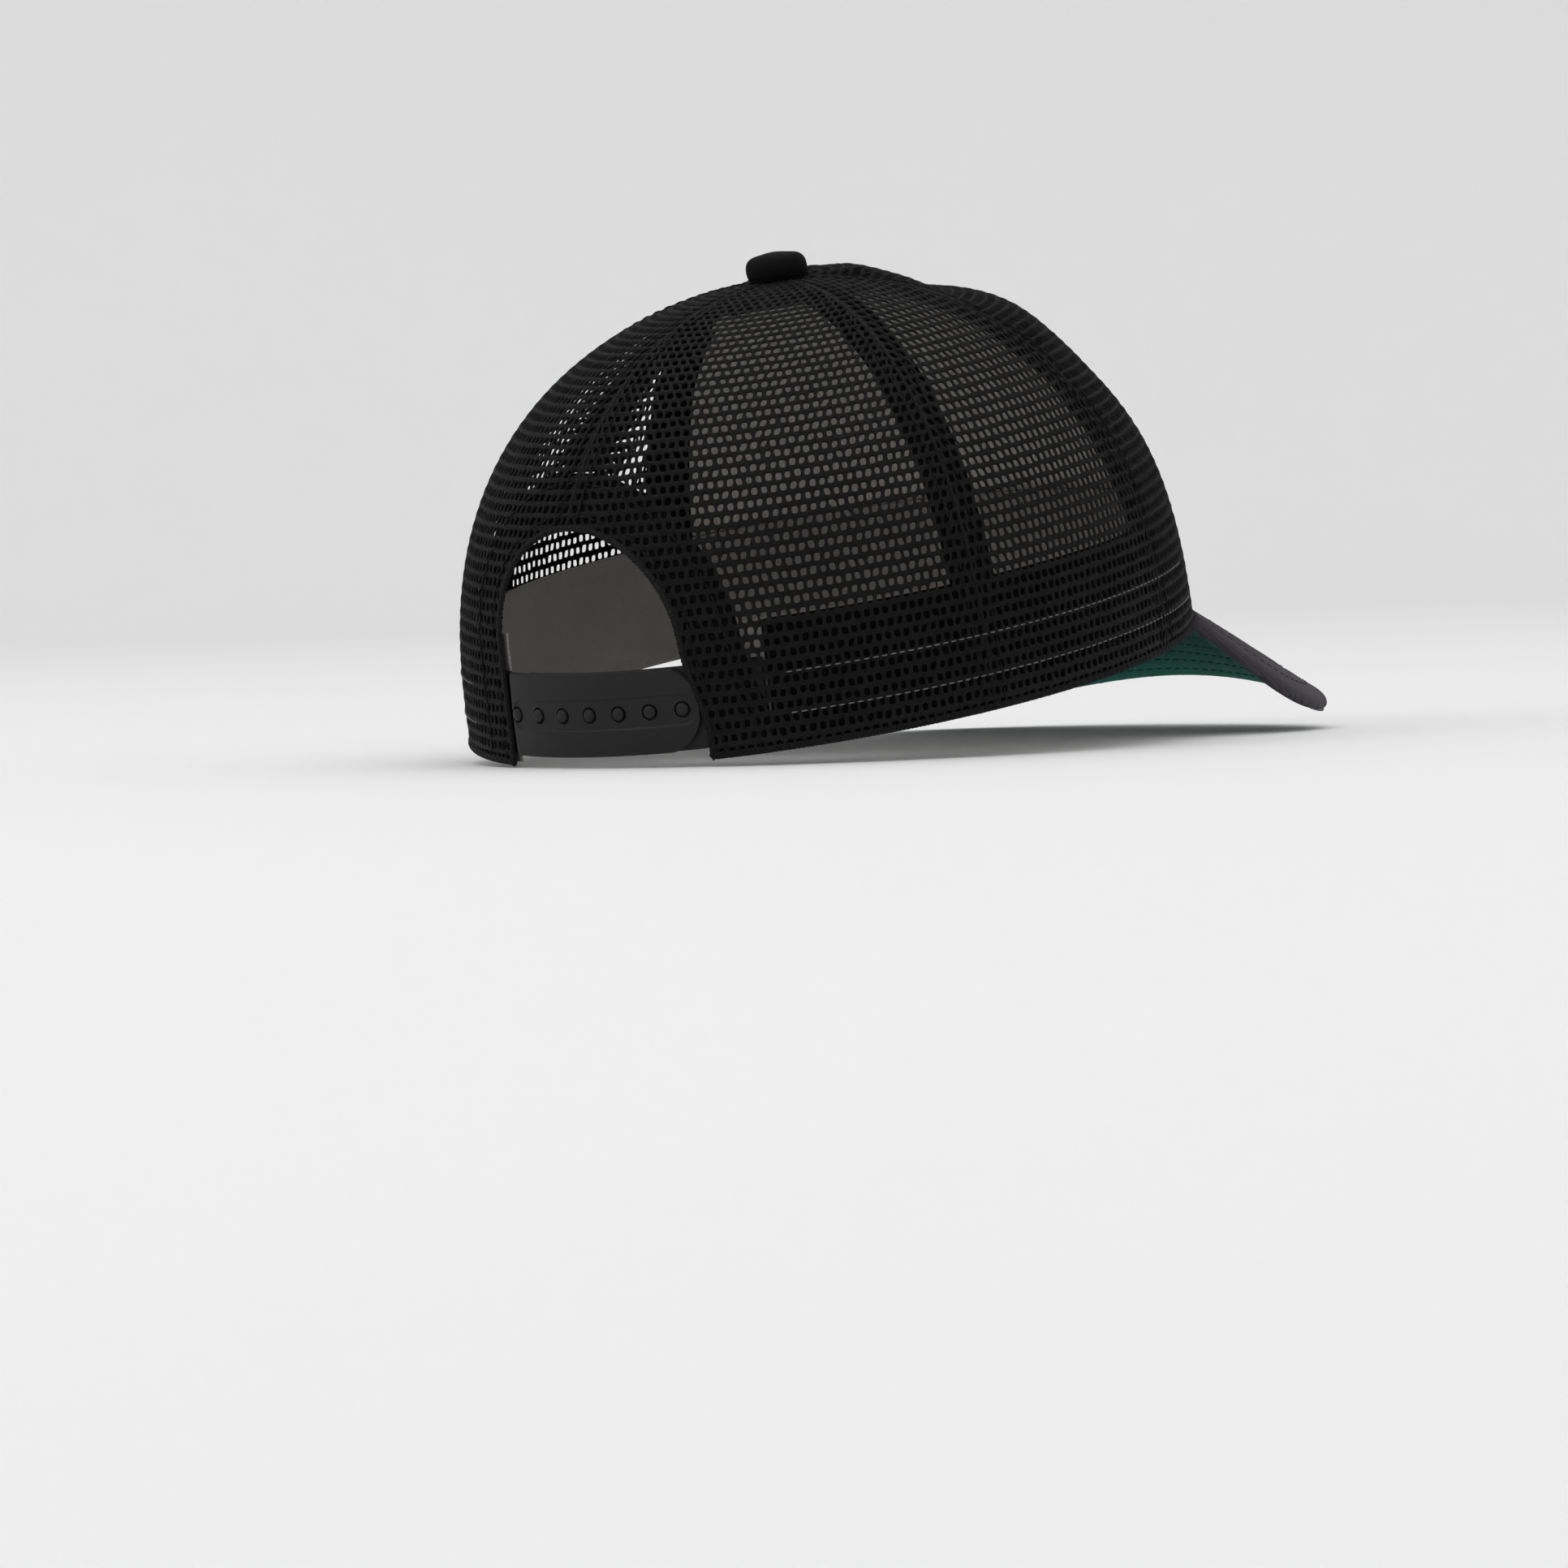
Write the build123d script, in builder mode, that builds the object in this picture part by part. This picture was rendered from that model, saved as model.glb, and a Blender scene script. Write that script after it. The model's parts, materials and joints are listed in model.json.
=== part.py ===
"""Trucker mesh cap: five-panel crown with an open rear arch, a curved visor and a snap strap.

The crown is a thin dome that stands on a flat oval rim.  Every layer of it (mesh, seam tapes,
backing, padding, sweatband, straps) follows the same dome at its own depth below the outside face.
Azimuth is measured round the dome in degrees, from the middle of the back towards the wearer's
right.  The pieces are drawn with the rim level at z = 0, and are then all tilted together to the
way the cap rests on a table, on the two rear corners of its rim and the two corners of its visor.
Front is -Y, the wearer's right is -X, and all lengths are in millimetres.
"""
import os
from math import acos, asin, atan2, cos, degrees, hypot, pi, radians, sin, sqrt

from build123d import *

os.makedirs("parts", exist_ok=True)

# ---- crown ----------------------------------------------------------------------------------
half_width = 88.0            # middle of the rim to its side
half_length_back = 103.6     # middle of the rim to the back of the strap opening
half_length_front = 104.4    # middle of the rim to the visor
crown_height = 105.5
radius_power = 2.14          # exponents of radius and of height in the dome's profile: 2 and 2 would
height_power = 2.58          # be an ellipse, and more makes its shoulder squarer
apex_radius = 3.0            # every panel stops this far from the middle, under the button

side_seam = 69.0             # azimuth of the seam between a rear panel and a side panel
front_seam = 109.0           # azimuth of the seam between a side panel and the front panel
seam_gap = 0.15              # between neighbouring panels

# ---- layers, as depth below the outside face of the crown: (outer face, inner face) -----------
shell_layer = (0.0, 0.8)
tape_layer = (0.9, 1.4)
tab_layer = (1.6, 2.9)
padding_layer = (1.5, 2.9)
sweatband_layer = (3.0, 3.7)
outer_strap_layer = (0.0, 1.3)
inner_strap_layer = (1.6, 2.9)

tape_width = 13.0
sweatband_height = 33.0

# ---- rear arch ------------------------------------------------------------------------------
arch_half_width = 28.3
arch_straight = 30.0         # height of the sides; the half-round top stands on them
arch_spread = 4.0            # each side stands out this much further at the rim
arch_lean = 9.6              # the strap draws the foot of the arch this far to the wearer's right
arch_top = arch_straight + arch_half_width
arch_binding_width = 12.5

# ---- snap strap -----------------------------------------------------------------------------
strap_bottom = 2.8
strap_top = 23.4
strap_pitch = 8.55           # from one peg to the next
strap_pegs = 7
# distances round the back from its middle, + towards the wearer's right
first_peg = -17.7
hole_strap_hinge, peg_strap_hinge = -21.4, 37.0
hole_strap_end, peg_strap_end = 37.9, -20.9
hole_strap_tab, peg_strap_tab = (-22.6, -38.6), (38.2, 54.2)
strap_end_radius = 9.0
peg_radius = 1.5
peg_height = 2.5             # above the face of the peg strap
hole_radius = 2.3
track_depth = 0.3            # shallow groove along the middle of the hole strap
track_half_height = 3.5
track_end_radius = 3.7

# ---- visor ----------------------------------------------------------------------------------
visor_slope = 32.3           # degrees below the rim plane
visor_reach = 46.0           # crown to visor edge at the middle, seen from above
visor_root = 49.0            # degrees either side of the front where the visor leaves the rim
visor_half_width = 73.7
visor_widest = 8.2           # how far behind the front of the crown the visor is widest
visor_corner = (55.3, 30.2)  # out from the middle, and forward of the crown: sets how square it is
visor_clearance = 0.15       # between the visor and the outside face of the crown
board_half_thickness = 1.0
cover_layer = (1.1, 1.8)     # from the middle of the board to each cover's two faces
cover_overhang = 1.3         # the covers reach this far past the edge of the board

# ---- button ---------------------------------------------------------------------------------
button_radius = 7.9
button_height = 6.8


# ---- the dome -------------------------------------------------------------------------------
def rim_radii(azimuth):
    """The two half axes of the rim oval on this side of it."""
    return half_width, half_length_back if cos(radians(azimuth)) > 0 else half_length_front


def profile(turn):
    """Radius share and height of the outside face: turn 0 is the rim and pi/2 the apex."""
    return max(cos(turn), 0.0) ** (2 / radius_power), crown_height * sin(turn) ** (2 / height_power)


def turn_at_height(height):
    """The turn at which the outside face reaches a height."""
    return asin(min(height / crown_height, 1.0) ** (height_power / 2))


def turn_at_radius(azimuth, radius):
    """The turn at which the outside face comes within a radius of the middle."""
    across, along = rim_radii(azimuth)
    rim = hypot(across * sin(radians(azimuth)), along * cos(radians(azimuth)))
    return acos(min(radius / rim, 1.0) ** (radius_power / 2))


def dome_point(azimuth, turn, depth=0.0):
    """A point of the dome, set back square to its profile by a depth."""
    step = 0.002
    share_1, height_1 = profile(max(turn - step, 0.0))
    share_2, height_2 = profile(min(turn + step, pi / 2))
    share, height = profile(turn)
    across, along = rim_radii(azimuth)
    east, north = -across * sin(radians(azimuth)), along * cos(radians(azimuth))
    rim = hypot(east, north)
    rise, inward = height_2 - height_1, (share_1 - share_2) * rim
    slant = hypot(rise, inward)
    radius = share * rim - depth * rise / slant
    return Vector(east / rim * radius, north / rim * radius, height - depth * inward / slant)


def sheet(point_at, rows, columns, thickness, towards):
    """A smooth face through point_at(row, column), given thickness on the side of a point."""
    grid = [[point_at(row, column) for column in columns] for row in rows]
    face = Face.make_surface_from_array_of_points(grid, tol=0.005, max_deg=5)
    middle = face.center()
    side = 1 if face.normal_at(middle).dot(towards - middle) > 0 else -1
    return thicken(face, amount=side * thickness)


def spread(start, stop, count):
    return [start + (stop - start) * i / (count - 1) for i in range(count)]


def dome_sheet(azimuths, heights, layer):
    """A patch of the dome between two azimuths and two heights, at one layer's depth.

    A height of None stands for the apex, where the patch stops short of the middle."""
    low, high = heights
    columns = spread(azimuths[0], azimuths[1], max(5, int(abs(azimuths[1] - azimuths[0]) / 6) + 3))
    rows = spread(0.0, 1.0, 13)

    def point_at(row, azimuth):
        bottom = turn_at_height(low)
        top = turn_at_radius(azimuth, apex_radius) if high is None else turn_at_height(high)
        return dome_point(azimuth, bottom + (top - bottom) * row, layer[0])

    return sheet(point_at, rows, columns, layer[1] - layer[0], towards=Vector(0, 0, 0))


def azimuth_at(distance):
    """Azimuth at a distance round the rim from the middle of the back."""
    azimuth, walked, step = 0.0, 0.0, 0.05
    while walked < abs(distance):
        slope = radians(azimuth)
        walked += radians(step) * hypot(half_width * cos(slope), half_length_back * sin(slope))
        azimuth += step
    return azimuth if distance > 0 else -azimuth


rear_view = Plane(origin=(0, 140, 0), x_dir=(-1, 0, 0), z_dir=(0, 1, 0))


def arch_side(side, margin, height):
    """How far one side of the arch, below its round top, stands off the middle of the back."""
    spread_here = arch_spread * (1 - height / arch_straight) ** 2
    return side * (arch_half_width + margin + spread_here) + arch_lean * (1 - height / arch_top)


def arch_prism(margin, mode):
    """The rear arch, grown by a margin and run through the back wall."""
    half = arch_half_width + margin
    right, left = ([(arch_side(side, margin, height), height) for height in spread(0, arch_straight, 7)]
                   for side in (1, -1))
    round_top = []
    for turn in spread(0, pi, 15):
        height = arch_straight + half * sin(turn)
        round_top.append((half * cos(turn) + arch_lean * (1 - height / arch_top), height))
    with BuildSketch(rear_view) as outline:
        with BuildLine():
            Spline(right + round_top[1:-1] + left[::-1])
            Polyline(left[0], (left[0][0], -20), (right[0][0], -20), right[0])
        make_face()
    extrude(outline.sketch, amount=-100, mode=mode)


def seam_slab(azimuth, mode):
    """A slab one tape wide that stands on a seam, from the middle of the crown outwards."""
    across, along = rim_radii(azimuth)
    heading = degrees(atan2(-across * sin(radians(azimuth)), along * cos(radians(azimuth))))
    with Locations(Location((0, 0, 50), (0, 0, -heading))):
        Box(tape_width, 150, 160, align=(Align.CENTER, Align.MIN, Align.CENTER), mode=mode)


pieces = {}


def keep(name, part):
    pieces[name] = part


# ---- the five panels --------------------------------------------------------------------------
half_gap = seam_gap / half_width * 90 / pi

with BuildPart() as front_panel:
    dome_sheet((front_seam + half_gap, 360 - front_seam - half_gap), (0, None), shell_layer)
keep("front_panel", front_panel.part)

for side, name in ((1, "right"), (-1, "left")):
    with BuildPart() as side_panel:
        dome_sheet((side * (side_seam + half_gap), side * (front_seam - half_gap)), (0, None), shell_layer)
    keep(f"{name}_side_panel", side_panel.part)

    with BuildPart() as rear_panel:
        dome_sheet((side * half_gap, side * (side_seam - half_gap)), (0, None), shell_layer)
        arch_prism(0, Mode.SUBTRACT)
    keep(f"{name}_rear_panel", rear_panel.part)

# ---- backing, seam tapes and the binding of the arch ------------------------------------------
backing_gap = 0.3
backing_margin = degrees((tape_width / 2 + backing_gap) / half_width)

with BuildPart() as front_panel_backing:
    dome_sheet((front_seam, 360 - front_seam), (0, 97), tape_layer)
    for seam in (front_seam, -front_seam):
        seam_slab(seam, Mode.SUBTRACT)
keep("front_panel_backing", front_panel_backing.part)


def seam_tape(azimuth, reach_back, reach_front):
    """A tape over one seam, narrowed near the apex where it meets its neighbours."""
    with BuildPart() as tape:
        dome_sheet((azimuth - reach_back, azimuth + reach_front), (0, None), tape_layer)
        seam_slab(azimuth, Mode.INTERSECT)
    return tape.part


between_seams = (side_seam / 2, (front_seam - side_seam) / 2)
for side, name in ((1, "right"), (-1, "left")):
    reaches = (between_seams[0] - 0.5, between_seams[1] - 0.5)[::side]
    keep(f"{name}_side_seam_tape", seam_tape(side * side_seam, *reaches))
    reaches = (between_seams[1] - 0.5, between_seams[1] - 0.5)
    keep(f"{name}_front_seam_tape", seam_tape(side * front_seam, *reaches))

with BuildPart() as rear_centre_tape:
    dome_sheet((0.5 - between_seams[0], between_seams[0] - 0.5), (0, None), tape_layer)
    seam_slab(0, Mode.INTERSECT)
    arch_prism(arch_binding_width + 0.3, Mode.SUBTRACT)
keep("rear_centre_tape", rear_centre_tape.part)

with BuildPart() as arch_binding:
    dome_sheet((-40, 40), (0, 80), tape_layer)
    arch_prism(arch_binding_width, Mode.INTERSECT)
    arch_prism(0, Mode.SUBTRACT)
keep("arch_binding", arch_binding.part)

# ---- sweatband --------------------------------------------------------------------------------
tab_gap = 1.5
padding_azimuths = (azimuth_at(peg_strap_tab[1] + tab_gap), 360 + azimuth_at(hole_strap_tab[1] - tab_gap))

with BuildPart() as sweatband_padding:
    dome_sheet(padding_azimuths, (0.5, sweatband_height - 0.5), padding_layer)
keep("sweatband_padding", sweatband_padding.part)

with BuildPart() as sweatband_cover:
    dome_sheet((10, 350), (0, sweatband_height), sweatband_layer)
    arch_prism(0.5, Mode.SUBTRACT)
keep("sweatband_cover", sweatband_cover.part)


# ---- snap strap -------------------------------------------------------------------------------
strap_height = strap_top - strap_bottom
strap_middle = (strap_top + strap_bottom) / 2
peg_distances = [first_peg + strap_pitch * i for i in range(strap_pegs)]


def strap_plane(distance, depth=0.0):
    """A plane that lies flat on the strap ring: x runs towards the wearer's right and y up."""
    azimuth = azimuth_at(distance)
    turn = turn_at_height(strap_middle)
    ahead = dome_point(azimuth + 0.5, turn, depth) - dome_point(azimuth - 0.5, turn, depth)
    outward = Vector(-ahead.Y, ahead.X, 0) * -1
    return Plane(origin=dome_point(azimuth, turn, depth), x_dir=ahead, z_dir=outward)


def strap_sheet(start, end, layer):
    """A level stretch of strap between two distances round the back."""
    azimuths = (azimuth_at(start), azimuth_at(end))
    return dome_sheet(azimuths, (strap_bottom, strap_top), layer)


def round_free_end(end, direction):
    """Round the corners of a strap's free end; direction is +1 where it ends towards the right."""
    with BuildSketch(strap_plane(end)) as outline:
        with Locations((-direction * 50, 0)):
            RectangleRounded(100, strap_height + 0.04, strap_end_radius)
    extrude(outline.sketch, amount=60, both=True, mode=Mode.INTERSECT)


def round_root(distance, layer):
    """Round the root of a strap about its bending line."""
    half_thickness = (layer[1] - layer[0]) / 2
    plane = strap_plane(distance, layer[0] + half_thickness)
    hinge = Plane(origin=plane.origin - Vector(0, 0, strap_height / 2 - 0.3), z_dir=(0, 0, 1))
    with BuildSketch(hinge) as outline:
        Circle(half_thickness - 0.02)
    extrude(outline.sketch, amount=strap_height - 0.6)


with BuildPart() as track:
    track_azimuths = (azimuth_at(hole_strap_hinge - 1), azimuth_at(peg_distances[-1]))
    track_heights = (strap_middle - track_half_height, strap_middle + track_half_height)
    dome_sheet(track_azimuths, track_heights, (-0.2, track_depth))
    with BuildSketch(strap_plane(peg_distances[-1])):
        Circle(track_end_radius)
    extrude(amount=-track_depth)

with BuildPart() as hole_strap:
    strap_sheet(hole_strap_hinge, hole_strap_end, outer_strap_layer)
    round_free_end(hole_strap_end, 1)
    round_root(hole_strap_hinge, outer_strap_layer)
    add(track.part, mode=Mode.SUBTRACT)
    for distance in peg_distances:
        with BuildSketch(strap_plane(distance)) as hole:
            Circle(hole_radius)
        extrude(hole.sketch, amount=5, both=True, mode=Mode.SUBTRACT)
keep("hole_strap", hole_strap.part)

with BuildPart() as peg_strap:
    strap_sheet(peg_strap_end, peg_strap_hinge, inner_strap_layer)
    round_free_end(peg_strap_end, -1)
    peg_foot = inner_strap_layer[0] + 0.3
    shank_height = peg_height * 0.68
    for distance in peg_distances:
        with Locations(strap_plane(distance, peg_foot)):
            Cylinder(peg_radius, shank_height + 0.3, align=(Align.CENTER, Align.CENTER, Align.MIN))
        with Locations(strap_plane(distance, peg_foot - shank_height - 0.3)):
            Cone(peg_radius, peg_radius * 0.55, peg_height - shank_height,
                 align=(Align.CENTER, Align.CENTER, Align.MIN))
keep("peg_strap", peg_strap.part)

tab_heights = (strap_bottom + 0.8, strap_top - 0.8)
for name, (start, end) in (("hole", hole_strap_tab), ("peg", peg_strap_tab)):
    with BuildPart() as strap_tab:
        dome_sheet((azimuth_at(start), azimuth_at(end)), tab_heights, tab_layer)
    keep(f"{name}_strap_tab", strap_tab.part)

# ---- visor ------------------------------------------------------------------------------------
slope_cos, slope_sin = cos(radians(visor_slope)), sin(radians(visor_slope))


def rim_front(x):
    """The rim's distance in front of the middle, and how fast it falls away, at x off the middle."""
    rest = sqrt(1 - (x / half_width) ** 2)
    return half_length_front * rest, half_length_front * x / half_width ** 2 / rest


def visor_point(reach, x, offset):
    """A point of the visor: the rim slid forward and down, and lifted square to the surface."""
    front, fall = rim_front(x)
    square = Vector(fall * slope_sin, -slope_sin, slope_cos).normalized()
    return Vector(x, -front - reach * slope_cos, -reach * slope_sin) + square * offset


def visor_slab(low, high):
    """A wide slab of the visor's curve between two offsets from the middle of its board."""
    reaches, columns = spread(-14, 130, 7), spread(-82, 82, 23)
    return sheet(lambda reach, x: visor_point(reach, x, low), reaches, columns, high - low,
                 towards=Vector(0, -200, 400))


def visor_prism(inset, mode):
    """The visor's outline from above, drawn in by an inset at its free edge, as an upright prism."""
    root = Vector(half_width * sin(radians(visor_root)), -half_length_front * cos(radians(visor_root)))
    root = root - Vector(inset, inset / 2)
    widest = Vector(visor_half_width - inset, visor_widest - half_length_front)
    corner = Vector(visor_corner[0] - inset * 0.7, inset * 0.7 - half_length_front - visor_corner[1])
    tip = Vector(0, inset - half_length_front - visor_reach)
    with BuildSketch(Plane.XY.offset(-120)) as outline:
        with BuildLine():
            flank = Spline((root.X - 6, root.Y + 14), root, widest, tangents=((0.5, -1), (0, -1)))
            nose = Spline(widest, corner, tip, tangents=((0, -1), (-1, 0)))
            mirror(flank, about=Plane.YZ)
            mirror(nose, about=Plane.YZ)
            Line(flank @ 0, (-(flank @ 0).X, (flank @ 0).Y))
        make_face()
        Ellipse(half_width + visor_clearance, half_length_front + visor_clearance, mode=Mode.SUBTRACT)
    extrude(outline.sketch, amount=160, mode=mode)
    return [nose.position_at(share) for share in spread(0, 1, 60)]


with BuildPart() as visor_board:
    visor_slab(-board_half_thickness, board_half_thickness)
    visor_prism(cover_overhang, Mode.INTERSECT)
keep("visor_board", visor_board.part)

with BuildPart() as visor_under_cover:
    visor_slab(-cover_layer[1], -cover_layer[0])
    visor_edge = visor_prism(0, Mode.INTERSECT)
keep("visor_under_cover", visor_under_cover.part)

with BuildPart() as board_space:
    visor_slab(-3, cover_layer[0])
    visor_prism(cover_layer[1] - cover_layer[0], Mode.INTERSECT)

with BuildPart() as visor_top_cover:
    visor_slab(0.05 - cover_layer[0], cover_layer[1])
    visor_prism(0, Mode.INTERSECT)
    add(board_space.part, mode=Mode.SUBTRACT)
keep("visor_top_cover", visor_top_cover.part)

# ---- button -----------------------------------------------------------------------------------
button_waist = 2.2
button_foot = 1.0
button_corner = (0.8, 1.3)   # share of the radius, and depth below the top: sets how flat it is
fabric_thickness = 0.6
button_shell_thickness = 0.5
stud_radius = 1.4
back_plate_radius = 6.5
back_plate = (2.0, 3.0)      # depth of its two faces below the apex


def button_dome(shrink, mode=Mode.ADD):
    """A flat-bottomed dome on the apex, smaller all round by a shrink."""
    radius = button_radius - shrink
    base, top = crown_height + 0.1, crown_height + button_height - shrink
    with BuildSketch(Plane.XZ) as outline:
        with BuildLine():
            Polyline((0, top), (0, base), (radius - button_foot, base))
            Spline((radius - button_foot, base), (radius, base + button_waist), tangents=((1, 0.6), (0, 1)))
            Spline((radius, base + button_waist), (radius * button_corner[0], top - button_corner[1]),
                   (0, top), tangents=((0, 1), (-1, 0)))
        make_face()
    revolve(outline.sketch, axis=Axis.Z, mode=mode)


with BuildPart() as button_cover:
    button_dome(0)
    button_dome(fabric_thickness, Mode.SUBTRACT)
keep("button_cover", button_cover.part)

shell_shrink = fabric_thickness + 0.05
with BuildPart() as button_shell:
    button_dome(shell_shrink)
    button_dome(shell_shrink + button_shell_thickness, Mode.SUBTRACT)
keep("button_shell", button_shell.part)

stud_top = crown_height + button_height - shell_shrink - button_shell_thickness - 0.05
with BuildPart() as button_stud:
    with BuildSketch(Plane.XY.offset(crown_height - back_plate[1])):
        Circle(stud_radius)
    extrude(amount=stud_top - crown_height + back_plate[1])
keep("button_stud", button_stud.part)

with BuildPart() as button_back_plate:
    with BuildSketch(Plane.XY.offset(crown_height - back_plate[1])):
        Circle(back_plate_radius)
        Circle(stud_radius + 0.05, mode=Mode.SUBTRACT)
    extrude(amount=back_plate[1] - back_plate[0])
keep("button_back_plate", button_back_plate.part)


# ---- the cap at rest --------------------------------------------------------------------------
def underside_of_visor(x, y):
    """Height of the visor's lower face straight below or above a point of the plan."""
    front, fall = rim_front(x)
    upright = slope_cos / sqrt(slope_cos ** 2 + slope_sin ** 2 * (1 + fall ** 2))
    return (y + front) * slope_sin / slope_cos - cover_layer[1] / upright


rear_corner = half_length_back * sqrt(1 - (arch_side(1, 0, 0) / half_width) ** 2)
tilts = [atan2(-underside_of_visor(point.X, point.Y), rear_corner - point.Y) for point in visor_edge]
rest_tilt = -degrees(max(tilts))

boxes = [(Rotation(rest_tilt, 0, 0) * part).bounding_box() for part in pieces.values()]
front_end, back_end = min(box.min.Y for box in boxes), max(box.max.Y for box in boxes)
floor = min(box.min.Z for box in boxes)
rest = Pos(0, -(front_end + back_end) / 2, -floor) * Rotation(rest_tilt, 0, 0)

for name, part in pieces.items():
    piece = rest * part
    piece.label = name
    export_step(piece, f"parts/{name}.step")

print(f"rest tilt {rest_tilt:.3f} degrees, origin of the level rim at {tuple(rest.position)}")
for name, distance, layer in (("hole_strap", hole_strap_hinge, outer_strap_layer),
                              ("peg_strap", peg_strap_hinge, inner_strap_layer)):
    middle = strap_plane(distance, (layer[0] + layer[1]) / 2).origin
    print(name, "bends about", (rest * Pos(*middle)).position)
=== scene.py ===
"""Looks of the trucker mesh cap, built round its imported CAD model.

The crown's surface is the CAD model's own dome, so the same formula is repeated here.  Points are
worked out in millimetres with the rim level at z = 0, front at -Y and the wearer's right at -X,
and placed() then puts them, in metres, where the cap rests in the frame.
"""
import json
import math

import bmesh
import bpy
import numpy as np
from mathutils import Matrix, Vector


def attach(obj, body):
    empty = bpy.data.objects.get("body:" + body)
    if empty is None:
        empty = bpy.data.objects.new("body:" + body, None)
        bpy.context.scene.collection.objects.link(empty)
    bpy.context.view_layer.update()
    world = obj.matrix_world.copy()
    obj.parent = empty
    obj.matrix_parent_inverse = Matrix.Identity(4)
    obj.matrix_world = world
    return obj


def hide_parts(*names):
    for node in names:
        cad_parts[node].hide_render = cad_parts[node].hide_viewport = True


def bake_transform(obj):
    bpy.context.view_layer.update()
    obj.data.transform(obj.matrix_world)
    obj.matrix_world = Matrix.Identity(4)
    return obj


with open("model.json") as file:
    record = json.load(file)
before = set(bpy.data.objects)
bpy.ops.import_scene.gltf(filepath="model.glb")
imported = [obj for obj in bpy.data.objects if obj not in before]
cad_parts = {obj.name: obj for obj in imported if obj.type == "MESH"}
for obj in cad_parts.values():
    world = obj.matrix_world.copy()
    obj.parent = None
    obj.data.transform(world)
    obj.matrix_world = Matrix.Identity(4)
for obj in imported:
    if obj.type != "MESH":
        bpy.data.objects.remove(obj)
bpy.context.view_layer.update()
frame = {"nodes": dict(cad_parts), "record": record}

chance = np.random.default_rng(7)

# ---- where the level cap stands in the frame ----
MM = 0.001
head_opening = frame["record"]["mounts"][0]
rim_middle = np.array(head_opening["pos_m"])
up = -np.array(head_opening["axis"])
north = np.array((0.0, up[2], -up[1]))
east = np.array((1.0, 0.0, 0.0))


def placed(points):
    """Points of the level cap in millimetres, as metres in the frame."""
    points = np.asarray(points, float)
    return rim_middle + MM * (points[..., :1] * east + points[..., 1:2] * north + points[..., 2:] * up)


# ---- the dome, in millimetres and degrees, as in the CAD model ----
half_width, half_length_back, half_length_front, crown_height = 88.0, 103.6, 104.4, 105.5
radius_power, height_power = 2.14, 2.58
side_seam, front_seam = 69.0, 109.0
seam_gap_angle = 0.05
shell, tape, padding, band = (0.0, 0.8), (0.9, 1.4), (1.5, 2.9), (3.0, 3.7)
tape_width, sweatband_height = 13.0, 33.0
arch_half_width, arch_straight, arch_spread, arch_lean, arch_binding_width = 28.3, 30.0, 4.0, 9.6, 12.5
arch_top = arch_straight + arch_half_width
wings = (1, "right"), (-1, "left")            # of the cap, with the sign of their azimuths
strap_bottom, strap_top = 2.8, 23.4
strap_middle, strap_half = (strap_top + strap_bottom) / 2, (strap_top - strap_bottom) / 2


def profile(turn):
    """Radius share and height of the outside face: turn 0 is the rim and pi/2 the apex."""
    share = np.maximum(np.cos(turn), 0.0) ** (2 / radius_power)
    return share, crown_height * np.sin(turn) ** (2 / height_power)


def turn_at_height(height):
    return np.arcsin(np.clip(height / crown_height, 0, 1) ** (height_power / 2))


def rim_point(azimuth):
    angle = np.radians(azimuth)
    along = np.where(np.cos(angle) > 0, half_length_back, half_length_front)
    return -half_width * np.sin(angle), along * np.cos(angle)


def turn_at_radius(azimuth, radius):
    rim = np.hypot(*rim_point(azimuth))
    return np.arccos(np.clip(radius / rim, 0, 1) ** (radius_power / 2))


def dome(azimuth, turn, depth=0.0):
    """Points of the dome, set back square to its profile by a depth."""
    azimuth, turn, depth = np.broadcast_arrays(*map(np.asarray, (azimuth, turn, depth)))
    step = 0.002
    share_1, height_1 = profile(np.maximum(turn - step, 0.0))
    share_2, height_2 = profile(np.minimum(turn + step, np.pi / 2))
    share, height = profile(turn)
    x, y = rim_point(azimuth)
    rim = np.hypot(x, y)
    rise, inward = height_2 - height_1, (share_1 - share_2) * rim
    slant = np.hypot(rise, inward)
    radius = share * rim - depth * rise / slant
    return np.stack((x / rim * radius, y / rim * radius, height - depth * inward / slant), -1)


def on_dome(azimuth, turn, depth=0.0):
    """Points of the dome at a depth, and their outward directions, 1 mm long."""
    spot = dome(azimuth, turn, depth)
    return spot, dome(azimuth, turn, depth - 1) - spot


def unit(vectors):
    return vectors / np.linalg.norm(vectors, axis=-1, keepdims=True)


def walked(points):
    """Distance along a line of points, from its first one."""
    return np.concatenate(((0,), np.cumsum(np.linalg.norm(np.diff(points, axis=0), axis=1))))


rim_azimuths = np.linspace(-180, 360, 5401)
rim_distances = walked(np.stack(rim_point(rim_azimuths), -1))
rim_distances = rim_distances - np.interp(0, rim_azimuths, rim_distances)


def azimuth_at(distance):
    """Azimuth at a distance round the rim from the middle of the back, + towards the right."""
    return np.interp(distance, rim_distances, rim_azimuths)


def distance_at(azimuth):
    return np.interp(azimuth, rim_azimuths, rim_distances)


class Cut:
    """Flat coordinates on a panel: across its middle line, and up along that line from the rim."""

    def __init__(self, middle):
        self.middle = middle
        turns = np.linspace(0, np.pi / 2 - 0.0005, 600)
        self.climbed = walked(dome(middle, turns))
        self.shares, self.heights = profile(turns)

    def locate(self, across, climb):
        """Azimuth and turn of a point."""
        height = np.interp(climb, self.climbed, self.heights)
        share = np.interp(climb, self.climbed, self.shares)
        azimuth = azimuth_at(distance_at(self.middle) + across / np.maximum(share, 0.02))
        return azimuth, turn_at_height(height)

    def climb_to_radius(self, radius):
        turn = turn_at_radius(self.middle, radius)
        return float(np.interp(profile(turn)[1], self.heights, self.climbed))


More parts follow.
